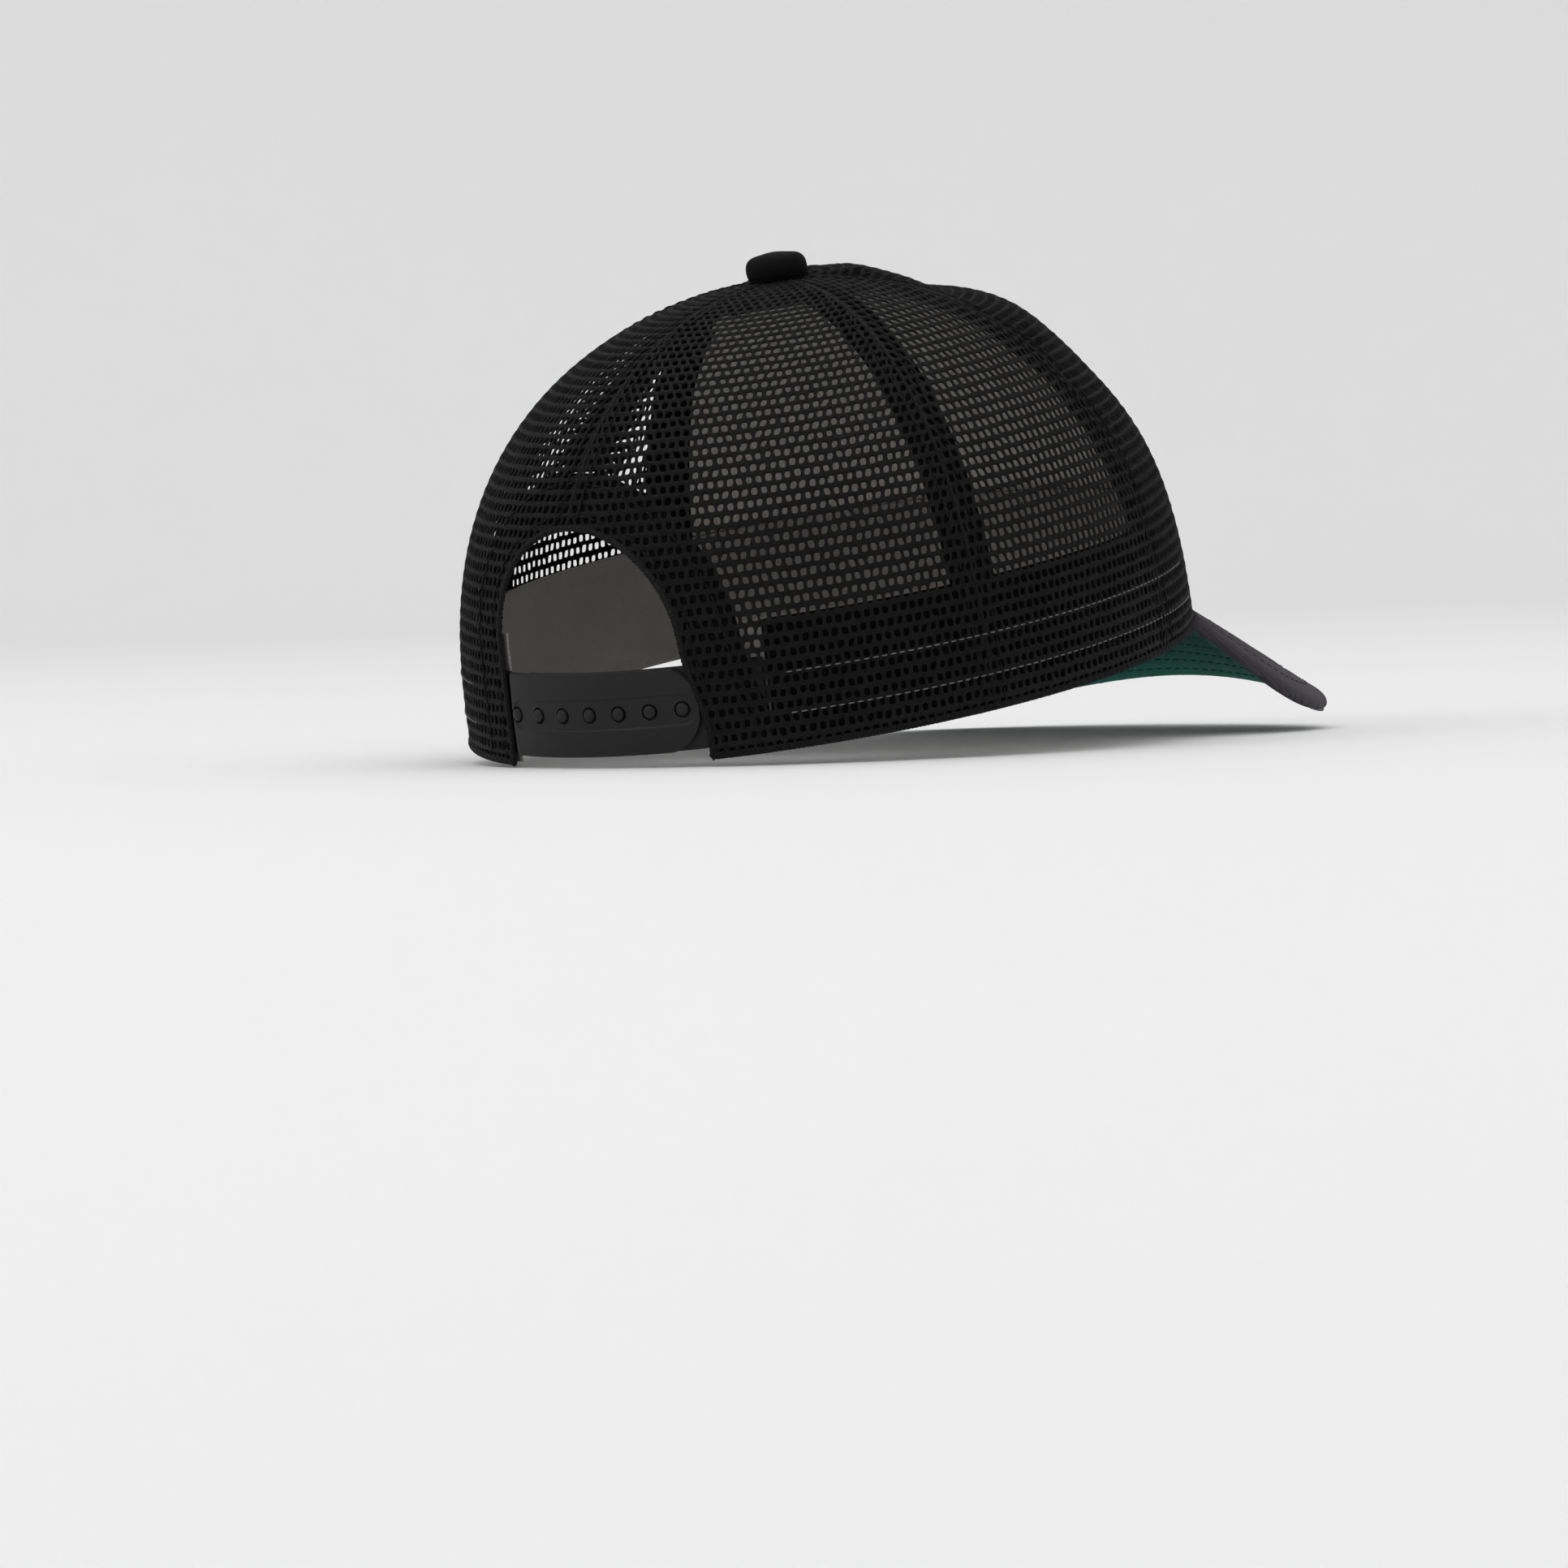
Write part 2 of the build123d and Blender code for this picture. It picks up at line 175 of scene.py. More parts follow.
def rear_wall(x, height):
    """Azimuth and turn of the rear wall's point that is x off the middle, at a height."""
    x, height = np.broadcast_arrays(np.asarray(x, float), np.asarray(height, float))
    turn = turn_at_height(height)
    return np.degrees(np.arcsin(np.clip(-x / (half_width * profile(turn)[0]), -0.95, 0.95))), turn


def arch_centre(height):
    """x of the middle of the arch, which its strap draws to the wearer's right (-X) low down."""
    return -arch_lean * (1 - height / arch_top)


def arch_reach(height, margin, side):
    """Half the width of the arch at a height below its round top; it flares less at its right foot (-X)."""
    flare = arch_spread * (1 - np.clip(height / arch_straight, 0, 1)) ** 2
    right_flare = flare * np.clip(height / strap_middle, 0, 1)
    return arch_half_width + margin + np.where(np.asarray(side) < 0, right_flare, flare)


def outside_arch(azimuth, turn, margin=0.0):
    """The same points, with those inside the arch moved straight to its edge."""
    spot = dome(azimuth, turn)
    height = spot[..., 2]
    x = spot[..., 0] - arch_centre(height)
    above = np.maximum(height - arch_straight, 0.0)
    reach, half = np.hypot(x, above), arch_reach(height, margin, x)
    inside = (reach < half) & (np.abs(azimuth) < 60)
    grow = half / np.maximum(reach, 1e-6)
    moved_x = np.where(above > 0, x * grow, np.where(x < 0, -half, half))
    moved_height = np.where(above > 0, arch_straight + above * grow, height)
    moved_x = moved_x + arch_centre(moved_height)
    moved = rear_wall(np.where(inside, moved_x, spot[..., 0]), np.where(inside, moved_height, height))
    return np.where(inside, moved[0], azimuth), np.where(inside, moved[1], turn)


def arch_line(margin, count):
    """x and height of a line round the arch, from its right foot to its left."""
    half = arch_half_width + margin
    length = 2 * arch_straight + math.pi * half
    way = np.linspace(0, length, count)
    angle = np.clip((way - arch_straight) / half, 0, math.pi)
    low = np.minimum(np.minimum(way, length - way), arch_straight)
    height = low + half * np.sin(angle)
    side = -np.cos(angle)
    return arch_centre(height) + arch_reach(low, margin, side) * side, height


# ---- meshes ----
def numbered_rings(count, sides):
    """Point numbers of rings that lie one after another, and the faces that join them."""
    index = np.arange(count * sides).reshape(count, sides)
    turned = np.roll(index, -1, 1)
    return index, np.stack((index[:-1], turned[:-1], turned[1:], index[1:]), -1).reshape(-1, 4).tolist()


def add_piece(name, points, faces, finish, uv=None, weld=0.0):
    """A smooth mesh object from level points in millimetres, with one UV in millimetres per point."""
    mesh = bpy.data.meshes.new(name)
    mesh.from_pydata(placed(points).tolist(), [], [list(map(int, face)) for face in faces])
    if uv is not None:
        layer = mesh.uv_layers.new(name="cloth")
        corners = np.empty(len(mesh.loops), int)
        mesh.loops.foreach_get("vertex_index", corners)
        layer.data.foreach_set("uv", np.asarray(uv, float)[corners].ravel())
    shape = bmesh.new()
    shape.from_mesh(mesh)
    if weld:
        bmesh.ops.remove_doubles(shape, verts=shape.verts, dist=weld * MM)
        bmesh.ops.dissolve_degenerate(shape, edges=shape.edges, dist=weld * MM)
    bmesh.ops.recalc_face_normals(shape, faces=shape.faces)
    shape.to_mesh(mesh)
    shape.free()
    mesh.polygons.foreach_set("use_smooth", [True] * len(mesh.polygons))
    mesh.materials.append(finish)
    piece = bpy.data.objects.new(name, mesh)
    bpy.context.scene.collection.objects.link(piece)
    return piece


def dress(piece, slot, *nodes):
    """Lets a piece ride on the crown and hides the CAD nodes it stands for; its slot is not used."""
    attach(piece, "crown")
    if nodes:
        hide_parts(*nodes)
    return piece


def grid_lengths(grid):
    """Distances along the rows and along the columns of a grid of points."""
    along = np.linalg.norm(np.diff(grid, axis=1), axis=2)
    down = np.linalg.norm(np.diff(grid, axis=0), axis=2)
    across = np.concatenate((np.zeros((len(grid), 1)), np.cumsum(along, 1)), 1)
    across = across - across[:, -1:] / 2
    climb = np.concatenate((np.zeros((1, grid.shape[1])), np.cumsum(down, 0)), 0)
    return np.stack((across, climb), -1)


edge_roundness = 0.35        # how far a cloth's cut edge bulges, as a share of its thickness


def add_cloth(name, outer, inner, finish, uv=None):
    """A sheet between two grids of points, with its four edges rounded."""
    rows, columns = outer.shape[:2]
    index = np.arange(rows * columns).reshape(rows, columns)
    loop = np.concatenate((index[0, :-1], index[:-1, -1], index[-1, :0:-1], index[:0:-1, 0]))
    middle = (outer + inner) / 2
    thickness = np.linalg.norm(outer - inner, axis=2)
    out = np.zeros_like(middle)
    out[0] += middle[0] - middle[1]
    out[-1] += middle[-1] - middle[-2]
    out[:, 0] += middle[:, 0] - middle[:, 1]
    out[:, -1] += middle[:, -1] - middle[:, -2]
    out /= np.maximum(np.linalg.norm(out, axis=2, keepdims=True), 1e-9)
    rim = (middle + out * thickness[..., None] * edge_roundness).reshape(-1, 3)[loop]
    total = rows * columns
    square = np.stack((index[:-1, :-1], index[:-1, 1:], index[1:, 1:], index[1:, :-1]), -1).reshape(-1, 4)
    faces = [square, square[:, ::-1] + total]
    ring = 2 * total + np.arange(len(loop))
    following = np.roll(np.arange(len(loop)), -1)
    faces.append(np.stack((loop, loop[following], ring[following], ring), -1))
    faces.append(np.stack((ring, ring[following], loop[following] + total, loop + total), -1))
    if uv is None:
        uv = grid_lengths(outer)
    flat = uv.reshape(-1, 2)
    points = np.concatenate((outer.reshape(-1, 3), inner.reshape(-1, 3), rim))
    return add_piece(name, points, np.concatenate(faces), finish, np.concatenate((flat, flat, flat[loop])))


def add_sheet(name, grids, finish, slot, *nodes, uv=None, **facts):
    """A stretched sheet of cloth between two grids, standing in for CAD nodes; the facts of its cut are not
    used.
    """
    piece = dress(add_cloth(name, *grids, finish, uv), slot, *nodes)


def add_tube(name, line, outward, radii, finish, flatten):
    """A tube along a line; outward is a direction per point, and radii a ring of radii per point."""
    ahead = np.gradient(line, axis=0)
    ahead = unit(ahead)
    outward = outward - ahead * np.sum(outward * ahead, 1, keepdims=True)
    outward = unit(outward)
    sideways = np.cross(ahead, outward)
    count, sides = radii.shape
    angle = np.arange(sides) * 2 * np.pi / sides
    ring = (np.cos(angle)[None, :, None] * outward[:, None] * flatten
            + np.sin(angle)[None, :, None] * sideways[:, None])
    points = line[:, None] + ring * radii[..., None]
    index, faces = numbered_rings(count, sides)
    first_end = line[0] - ahead[0] * radii[0].mean() * 0.5
    last_end = line[-1] + ahead[-1] * radii[-1].mean() * 0.5
    for end, row in ((count * sides, index[0]), (count * sides + 1, index[-1])):
        faces += [[int(a), int(b), end] for a, b in zip(row, np.roll(row, -1))]
    way = walked(line)
    uv = np.stack(np.broadcast_arrays(way[:, None], angle[None] * 0.8), -1).reshape(-1, 2)
    uv = np.concatenate((uv, [[way[0], 0], [way[-1], 0]]))
    points = np.concatenate((points.reshape(-1, 3), (first_end, last_end)))
    return add_piece(name, points, faces, finish, uv)


def add_stitches(name, lines, finish, length=2.2, gap=0.9, radius=0.2, lift=0.05):
    """Rows of separate thread stitches; each line is (points, outward directions)."""
    sides, rings = 6, ((0.0, 0.25), (0.12, 0.85), (0.5, 1.0), (0.88, 0.85), (1.0, 0.25))
    points, faces = [], []
    angle = np.arange(sides) * 2 * np.pi / sides
    for line, outward in lines:
        way = walked(line)
        start = gap / 2
        while start + length < way[-1]:
            stops = start + length * np.array([at for at, _ in rings])
            spine = np.stack([np.interp(stops, way, line[:, k]) for k in range(3)], -1)
            out = np.array([np.interp(start + length / 2, way, outward[:, k]) for k in range(3)])
            ahead = spine[-1] - spine[0]
            ahead = unit(ahead)
            out = out - ahead * (out @ ahead)
            out = unit(out)
            sideways = np.cross(ahead, out)
            arch = np.array([4 * at * (1 - at) for at, _ in rings]) * radius * 0.9
            spine = spine + out * (arch + lift - radius * 0.5)[:, None]
            first = len(points) * sides
            for (_, share), middle in zip(rings, spine):
                points.append(middle + radius * share * (np.cos(angle)[:, None] * out
                                                         + np.sin(angle)[:, None] * sideways))
            for ring in range(len(rings) - 1):
                for side in range(sides):
                    a = first + ring * sides + side
                    b = first + ring * sides + (side + 1) % sides
                    faces.append((a, b, b + sides, a + sides))
            faces.append(tuple(range(first, first + sides)))
            last = first + (len(rings) - 1) * sides
            faces.append(tuple(range(last + sides - 1, last - 1, -1)))
            start += length + gap * chance.uniform(0.85, 1.15)
    return add_piece(name, np.concatenate(points), faces, finish)


# ---- materials ----
def new_material(name, colour, roughness, **sockets):
    """A material with its shader and small helpers for its nodes."""
    material = bpy.data.materials.new(name)
    material.use_nodes = True
    tree = material.node_tree
    shader = tree.nodes["Principled BSDF"]
    shader.inputs["Base Color"].default_value = (*colour, 1)
    shader.inputs["Roughness"].default_value = roughness
    for socket, value in sockets.items():
        shader.inputs[socket.replace("_", " ")].default_value = value
    return material, tree, shader


def math_node(tree, operation, first, second=None, third=None):
    node = tree.nodes.new("ShaderNodeMath")
    node.operation = operation
    for slot, value in enumerate((first, second, third)):
        if isinstance(value, (int, float)):
            node.inputs[slot].default_value = value
        elif value is not None:
            tree.links.new(value, node.inputs[slot])
    return node.outputs[0]


def noise(tree, scale, detail=3.0, stretch=None):
    """Noise in object space, with its scale in features per metre."""
    vector = tree.nodes.new("ShaderNodeTexCoord").outputs["Object"]
    if stretch:
        mapping = tree.nodes.new("ShaderNodeMapping")
        mapping.inputs["Scale"].default_value = stretch
        tree.links.new(vector, mapping.inputs["Vector"])
        vector = mapping.outputs["Vector"]
    node = tree.nodes.new("ShaderNodeTexNoise")
    node.inputs["Scale"].default_value = scale
    node.inputs["Detail"].default_value = detail
    tree.links.new(vector, node.inputs["Vector"])
    return node.outputs["Fac"]


def ramp(tree, value, low, high):
    """Maps 0..1 to low..high, where both are numbers or both are colours."""
    if isinstance(low, tuple):
        node = tree.nodes.new("ShaderNodeMix")
        node.data_type = "RGBA"
        node.inputs["A"].default_value = (*low, 1)
        node.inputs["B"].default_value = (*high, 1)
        tree.links.new(value, node.inputs["Factor"])
        return node.outputs["Result"]
    node = tree.nodes.new("ShaderNodeMapRange")
    node.inputs["To Min"].default_value = low
    node.inputs["To Max"].default_value = high
    tree.links.new(value, node.inputs["Value"])
    return node.outputs["Result"]


def cloth_axes(tree):
    """The two cloth coordinates, in millimetres."""
    split = tree.nodes.new("ShaderNodeSeparateXYZ")
    tree.links.new(tree.nodes.new("ShaderNodeUVMap").outputs["UV"], split.inputs["Vector"])
    return split.outputs["X"], split.outputs["Y"]


def wave(tree, value, pitch, phase=0.0):
    """A sine of the given pitch, from 0 to 1."""
    turned = math_node(tree, "MULTIPLY_ADD", value, 2 * math.pi / pitch, phase)
    return math_node(tree, "MULTIPLY_ADD", math_node(tree, "SINE", turned), 0.5, 0.5)


def bump(tree, shader, height, distance):
    """Adds a bump of a depth in metres to the shader."""
    node = tree.nodes.new("ShaderNodeBump")
    node.inputs["Distance"].default_value = distance
    node.inputs["Strength"].default_value = 1.0
    tree.links.new(height, node.inputs["Height"])
    tree.links.new(node.outputs["Normal"], shader.inputs["Normal"])


def finished(material, tree, shader, tone, colours, rough, roughness, height, depth):
    """Links a tone between two colours, a roughness between two values, and a bump."""
    tree.links.new(ramp(tree, tone, *colours), shader.inputs["Base Color"])
    tree.links.new(ramp(tree, rough, *roughness), shader.inputs["Roughness"])
    bump(tree, shader, math_node(tree, "MULTIPLY_ADD", *height), depth)
    return material


def woven(name, dark, light, pitch=0.55, depth=0.00006, twill=True, roughness=(0.72, 0.92), sheen=0.04):
    """Woven cloth: diagonal twill or plain weave, with slubs and a slow change of tone."""
    material, tree, shader = new_material(name, light, roughness[1], Sheen_Weight=sheen,
                                          Sheen_Roughness=0.5, Specular_IOR_Level=0.08)
    across, climb = cloth_axes(tree)
    diagonal = math_node(tree, "ADD", across, climb) if twill else across
    other = math_node(tree, "SUBTRACT", across, climb) if twill else climb
    ribs = wave(tree, diagonal, pitch * (1.4 if twill else 1.0))
    threads = wave(tree, other, pitch * 0.7)
    weave = math_node(tree, "MULTIPLY", ribs, ramp(tree, threads, 0.55, 1.0))
    slubs = noise(tree, 900.0, 2.0, stretch=(1.0, 1.0, 3.0))
    slow = noise(tree, 38.0, 3.0)
    tone = math_node(tree, "MULTIPLY_ADD", weave, 0.55, math_node(tree, "MULTIPLY", slubs, 0.35))
    tone = math_node(tree, "ADD", tone, ramp(tree, slow, -0.25, 0.3))
    return finished(material, tree, shader, tone, (dark, light), slubs, roughness, (slubs, 0.5, weave), depth)


def knitted(name, dark, light, pitch=0.62, depth=0.00009):
    """Knitted yarn: slanting loops that lean the other way on every second row, with loose fibres."""
    material, tree, shader = new_material(name, light, 0.62, Sheen_Weight=0.015, Sheen_Roughness=0.4,
                                          Specular_IOR_Level=0.1)
    across, climb = cloth_axes(tree)
    lean = ramp(tree, wave(tree, climb, net_row * 2), -0.6, 0.6)
    slanted = math_node(tree, "MULTIPLY_ADD", climb, lean, across)
    loops = wave(tree, slanted, pitch)
    fibres = noise(tree, 2600.0, 2.0, stretch=(1.0, 1.0, 2.0))
    slow = noise(tree, 60.0, 3.0)
    tone = math_node(tree, "MULTIPLY_ADD", loops, 0.45, math_node(tree, "MULTIPLY", fibres, 0.5))
    tone = math_node(tree, "ADD", tone, ramp(tree, slow, -0.2, 0.25))
    return finished(material, tree, shader, tone, (dark, light), fibres, (0.5, 0.78),
                    (fibres, 0.6, loops), depth)


def moulded(name, dark, light, roughness=(0.42, 0.55), grain=0.00002, **sockets):
    """Moulded or pressed stuff: a fine grain, faint scuffs and a slow change of tone."""
    material, tree, shader = new_material(name, light, roughness[1], **sockets)
    speckle = noise(tree, 3500.0, 2.0)
    slow = noise(tree, 55.0, 4.0)
    scuffs = noise(tree, 260.0, 4.0, stretch=(1.0, 6.0, 6.0))
    tone = math_node(tree, "MULTIPLY_ADD", slow, 0.7, math_node(tree, "MULTIPLY", scuffs, 0.4))
    return finished(material, tree, shader, tone, (dark, light), scuffs, roughness,
                    (scuffs, 0.5, speckle), grain)


net_pitch, net_row = 2.4, 3.15       # between holes along a row, and between rows
mesh_yarn = knitted("mesh_yarn", (0.0016, 0.0015, 0.0016), (0.016, 0.0153, 0.016))
hem_yarn = knitted("hem_yarn", (0.002, 0.002, 0.0022), (0.012, 0.0125, 0.0135))
tape_cloth = woven("tape_cloth", (0.0012, 0.0012, 0.0013), (0.003, 0.003, 0.0032), 0.9,
                   twill=False, sheen=0.0)
front_cloth = woven("front_cloth", (0.0015, 0.0015, 0.0016), (0.004, 0.004, 0.0042), sheen=0.0)
backing_cloth = woven("backing_cloth", (0.5, 0.475, 0.445), (0.78, 0.75, 0.71), 1.3, 0.00015, twill=False)
padding_cloth = woven("padding_cloth", (0.0015, 0.0015, 0.0016), (0.004, 0.004, 0.0042), 1.0,
                      twill=False, sheen=0.0)
sweatband_cloth = woven("sweatband_cloth", (0.26, 0.245, 0.23), (0.45, 0.43, 0.4), 0.6)
visor_cloth = woven("visor_cloth", (0.034, 0.030, 0.035), (0.084, 0.075, 0.085), 0.5)
underside_cloth = woven("underside_cloth", (0.006, 0.095, 0.072), (0.016, 0.25, 0.195), 0.55)
button_cloth = woven("button_cloth", (0.0014, 0.0011, 0.0012), (0.0055, 0.0045, 0.0047), 0.45, sheen=0.0)
black_thread = knitted("black_thread", (0.002, 0.002, 0.0022), (0.012, 0.012, 0.013), 0.5)
# Light grey thread: the sweatband's stitching, made light grey as a painted glint where light catches the
# mesh over the sweatband.
painted_glint_thread = knitted("painted_glint_thread", (0.04, 0.042, 0.045), (0.25, 0.26, 0.27), 0.5)
plum_thread = knitted("plum_thread", (0.014, 0.012, 0.014), (0.05, 0.044, 0.051), 0.5)
green_thread = knitted("green_thread", (0.004, 0.055, 0.042), (0.012, 0.16, 0.125), 0.5)
strap_plastic = moulded("strap_plastic", (0.006, 0.0059, 0.006), (0.0115, 0.0112, 0.0114),
                        Specular_IOR_Level=0.2)
painted_metal = moulded("painted_metal", (0.02, 0.02, 0.022), (0.06, 0.06, 0.065), (0.3, 0.45), Metallic=0.8)
board_plastic = moulded("board_plastic", (0.03, 0.032, 0.036), (0.07, 0.072, 0.078), (0.5, 0.7))

for node, finish in (("button_shell", painted_metal), ("button_stud", painted_metal),
                     ("button_back_plate", painted_metal), ("visor_board", board_plastic)):
    mesh = frame["nodes"][node].data
    mesh.materials.clear()
    mesh.materials.append(finish)

# ---- the four mesh panels: one net of staggered, nearly hexagonal holes ----
net_zigzag = 0.16            # how far the ridge between two rows steps up and down
hole_half_width, hole_half_height = 0.83, 0.96
net_top_radius = 7.0         # the net runs this near the middle, under the button
hole_squareness = 3.0        # 2 is an ellipse, and more is squarer
shoulder_reach, shoulder_lift = 0.62, 0.24    # share of the way from knot to hole, and its height
knot_proud, knot_wobble = 0.14, 0.05
kept_share = 0.42            # a cell stays if the panel's edge moves it less than this much of a pitch


def net_cell():
    """Twelve points round one cell and round its hole, from the top, clockwise."""
    half, high, low = net_pitch / 2, net_row / 2 + net_zigzag, net_row / 2 - net_zigzag
    corners = [(0, high), (half, low), (half, -low), (0, -high), (-half, -low), (-half, low)]
    outline = []
    for corner, following in zip(corners, corners[1:] + corners[:1]):
        outline += [corner, ((corner[0] + following[0]) / 2, (corner[1] + following[1]) / 2)]
    outline = np.array(outline)
    angle = np.arctan2(outline[:, 0] / half, outline[:, 1] / low)
    power = 2 / hole_squareness
    hole = np.stack((np.sign(np.sin(angle)) * np.abs(np.sin(angle)) ** power * hole_half_width,
                     np.sign(np.cos(angle)) * np.abs(np.cos(angle)) ** power * hole_half_height), -1)
    return outline, hole


def add_net(name, low, high, swelling=None, rounded=True):
    """The knitted net of the panel between two azimuths; rounded strands have twice the faces."""
    cut = Cut((low + high) / 2)

    def net_surface(azimuth, turn, depth):
        return dome(azimuth, turn, depth if swelling is None else depth - swelling(azimuth, turn))

    def settle(across, climb):
        """Azimuth and turn, kept inside the panel, and how far that moved the point."""
        azimuth, turn = cut.locate(across, np.maximum(climb, 0.05))
        kept, kept_turn = outside_arch(np.clip(azimuth, low, high), turn)
        kept = np.clip(kept, low, high)
        moved = np.linalg.norm(dome(azimuth, turn) - dome(kept, kept_turn), axis=-1)
        still_inside = np.abs(outside_arch(kept, kept_turn)[0] - kept) > 1.0
        return kept, kept_turn, np.where(still_inside, np.inf, moved)

    rim_width = abs(distance_at(high) - distance_at(low))
    rows = int(cut.climb_to_radius(net_top_radius) / net_row)
    half_columns = int(max(rim_width, 60) * 0.62 / net_pitch)
    row, column = np.meshgrid(np.arange(rows), np.arange(-half_columns, half_columns + 1), indexing="ij")
    across = ((column + 0.5 * (row % 2)) * net_pitch).ravel()
    climb = ((row + 0.5) * net_row).ravel()
    share = np.interp(climb, cut.climbed, cut.shares)
    near = np.abs(across) / share < rim_width / 2 + 3 * net_pitch
    across, climb = across[near], climb[near]
    kept = settle(across, climb)[2] < net_pitch * kept_share
    across, climb = across[kept], climb[kept]

    outline, hole = net_cell()
    size = chance.uniform(0.84, 1.06, (len(across), 1))
    shift = np.clip(chance.normal(0, 0.08, (2, len(across), 1)), -0.16, 0.16)
    slant = chance.normal(0, 0.14, (len(across), 1))
    hole_across = across[:, None] + (hole[:, 0] + hole[:, 1] * slant) * size + shift[0]
    hole_climb = climb[:, None] + hole[:, 1] * size + shift[1]
    cell_across, cell_climb = across[:, None] + outline[:, 0], climb[:, None] + outline[:, 1]
    merge_steps = 77.7       # per millimetre: corners that round to the same step are one knot
    key = np.round(np.stack((cell_across, cell_climb), -1).reshape(-1, 2) * merge_steps).astype(int)
    _, first, cell = np.unique(key, axis=0, return_index=True, return_inverse=True)
    cell = cell.reshape(-1, 12)
    knot_across, knot_climb = cell_across.ravel()[first], cell_climb.ravel()[first]
    on_strand = np.isin(first % 12, (3, 9))
    wobble = chance.normal(0, knot_wobble, (3, len(first)))
    azimuth, turn, _ = settle(knot_across + wobble[0], knot_climb + wobble[1])
    proud = np.where(on_strand, knot_proud, 0.0) + np.abs(wobble[2])
    knots_outside = net_surface(azimuth, turn, shell[0] + proud)
    knots_inside = net_surface(azimuth, turn, shell[1] - proud)

    def ring(reach, depth):
        ring_across = cell_across + (hole_across - cell_across) * reach
        ring_climb = cell_climb + (hole_climb - cell_climb) * reach
        azimuth, turn, _ = settle(ring_across.ravel(), ring_climb.ravel())
        return net_surface(azimuth, turn, depth), np.stack((ring_across.ravel(), ring_climb.ravel()), -1)

    middle_depth = sum(shell) / 2
    shoulder_outside, shoulder_uv = ring(shoulder_reach, middle_depth - shoulder_lift)
    shoulder_inside, _ = ring(shoulder_reach, middle_depth + shoulder_lift)
    edge, edge_uv = ring(1.0, middle_depth)
    knot_uv = np.stack((knot_across, knot_climb), -1)
    groups = (knots_outside, knots_inside, shoulder_outside, shoulder_inside, edge)
    starts = np.cumsum([0] + [len(group) for group in groups])
    numbered = np.arange(cell.size).reshape(-1, 12)
    rings = [cell + starts[0], numbered + starts[2], numbered + starts[4], numbered + starts[3],
             cell + starts[1]]
    if not rounded:
        rings = rings[::2]
    faces = []
    for near_ring, far_ring in zip(rings, rings[1:]):
        faces.append(np.stack((near_ring, np.roll(near_ring, -1, 1), np.roll(far_ring, -1, 1), far_ring), -1))
    sides = np.stack((cell, np.roll(cell, -1, 1)), -1).reshape(-1, 2)
    _, first_side, times = np.unique(np.sort(sides, 1), axis=0, return_index=True, return_counts=True)
    border = sides[first_side[times == 1]]
    walls = np.stack((border[:, 0], border[:, 1], border[:, 1] + starts[1], border[:, 0] + starts[1]), -1)
    faces = np.concatenate([group.reshape(-1, 4) for group in faces] + [walls])
    uv = np.concatenate((knot_uv, knot_uv, shoulder_uv, shoulder_uv, edge_uv))
    used, faces = np.unique(faces, return_inverse=True)
    return add_piece(name, np.concatenate(groups)[used], faces.reshape(-1, 4), mesh_yarn, uv[used], weld=0.03)


for side, wing in wings:
    for panel, start, stop, flat, area in (("rear_panel", 0, side_seam, (0.113, 0.165), 0.0105),
                                           ("side_panel", side_seam, front_seam, (0.072, 0.157), 0.0077)):
        azimuths = sorted((side * (start + seam_gap_angle), side * (stop - seam_gap_angle)))
        net = add_net(f"{wing}_{panel}_net", *azimuths)
        dress(net, "mesh_fabric", f"{wing}_{panel}")

# ---- front panel: the same net over a black lining, its backing, and the tapes ----
front_waves = ((20, 9, 2.0), (42, 7, -1.7), (61, 8, 0.9), (80, 9, -0.9))    # radius, half width, rise


def dome_grid(azimuths, turns, layer, swell=0.0):
    """Outer and inner grids of a stretch of the dome; turns is one row per height."""
    return dome(azimuths, turns, layer[0] - swell), dome(azimuths, turns, layer[1] - swell)


def front_swelling(azimuths, turns):
    """The cloth lifts in front of the button, dips behind that, and waves a little lower down."""
    azimuths, turns = np.broadcast_arrays(azimuths, turns)
    spot = dome(azimuths, turns)
    radius = np.hypot(spot[..., 0], spot[..., 1])
    swell = sum(rise * np.exp(-((radius - at) / reach) ** 2) for at, reach, rise in front_waves)
    waves = 0.2 * np.sin(azimuths / 7 + turns * 3) * np.sin(turns * 5)
    edge = np.clip((180 - front_seam - np.abs(azimuths - 180)) / 12, 0, 1)
    return (swell + waves) * np.clip(turns * 3, 0, 1) * edge * edge * (3 - 2 * edge)


front_net = add_net("front_panel_net", front_seam + seam_gap_angle, 360 - front_seam - seam_gap_angle,
                    front_swelling, rounded=False)
dress(front_net, "front_fabric", "front_panel")

lining, backing_layer = (0.85, 0.98), (1.02, 1.4)
azimuths, rise = np.meshgrid(np.linspace(front_seam + 0.3, 359.7 - front_seam, 150), np.linspace(0, 1, 110))
turns = rise * turn_at_radius(azimuths, net_top_radius - 1)
grids = dome_grid(azimuths, turns, lining, front_swelling(azimuths, turns))
add_sheet("front_panel_lining", grids, front_cloth, "front_fabric",
          flat=(0.234, 0.170), rests_on=["front_panel_backing"], area=0.0256)

backing_start = front_seam + 4.6
azimuths, rise = np.meshgrid(np.linspace(backing_start, 360 - backing_start, 110), np.linspace(0, 1, 80))
turns = rise * turn_at_height(96)
swell = front_swelling(azimuths, turns) + 0.04 * np.sin(azimuths * 1.1) * np.sin(turns * 9)
grids = dome_grid(azimuths, turns, backing_layer, swell)
add_sheet("front_backing_cloth", grids, backing_cloth, "backing", "front_panel_backing",
          flat=(0.219, 0.135), area=0.0208)


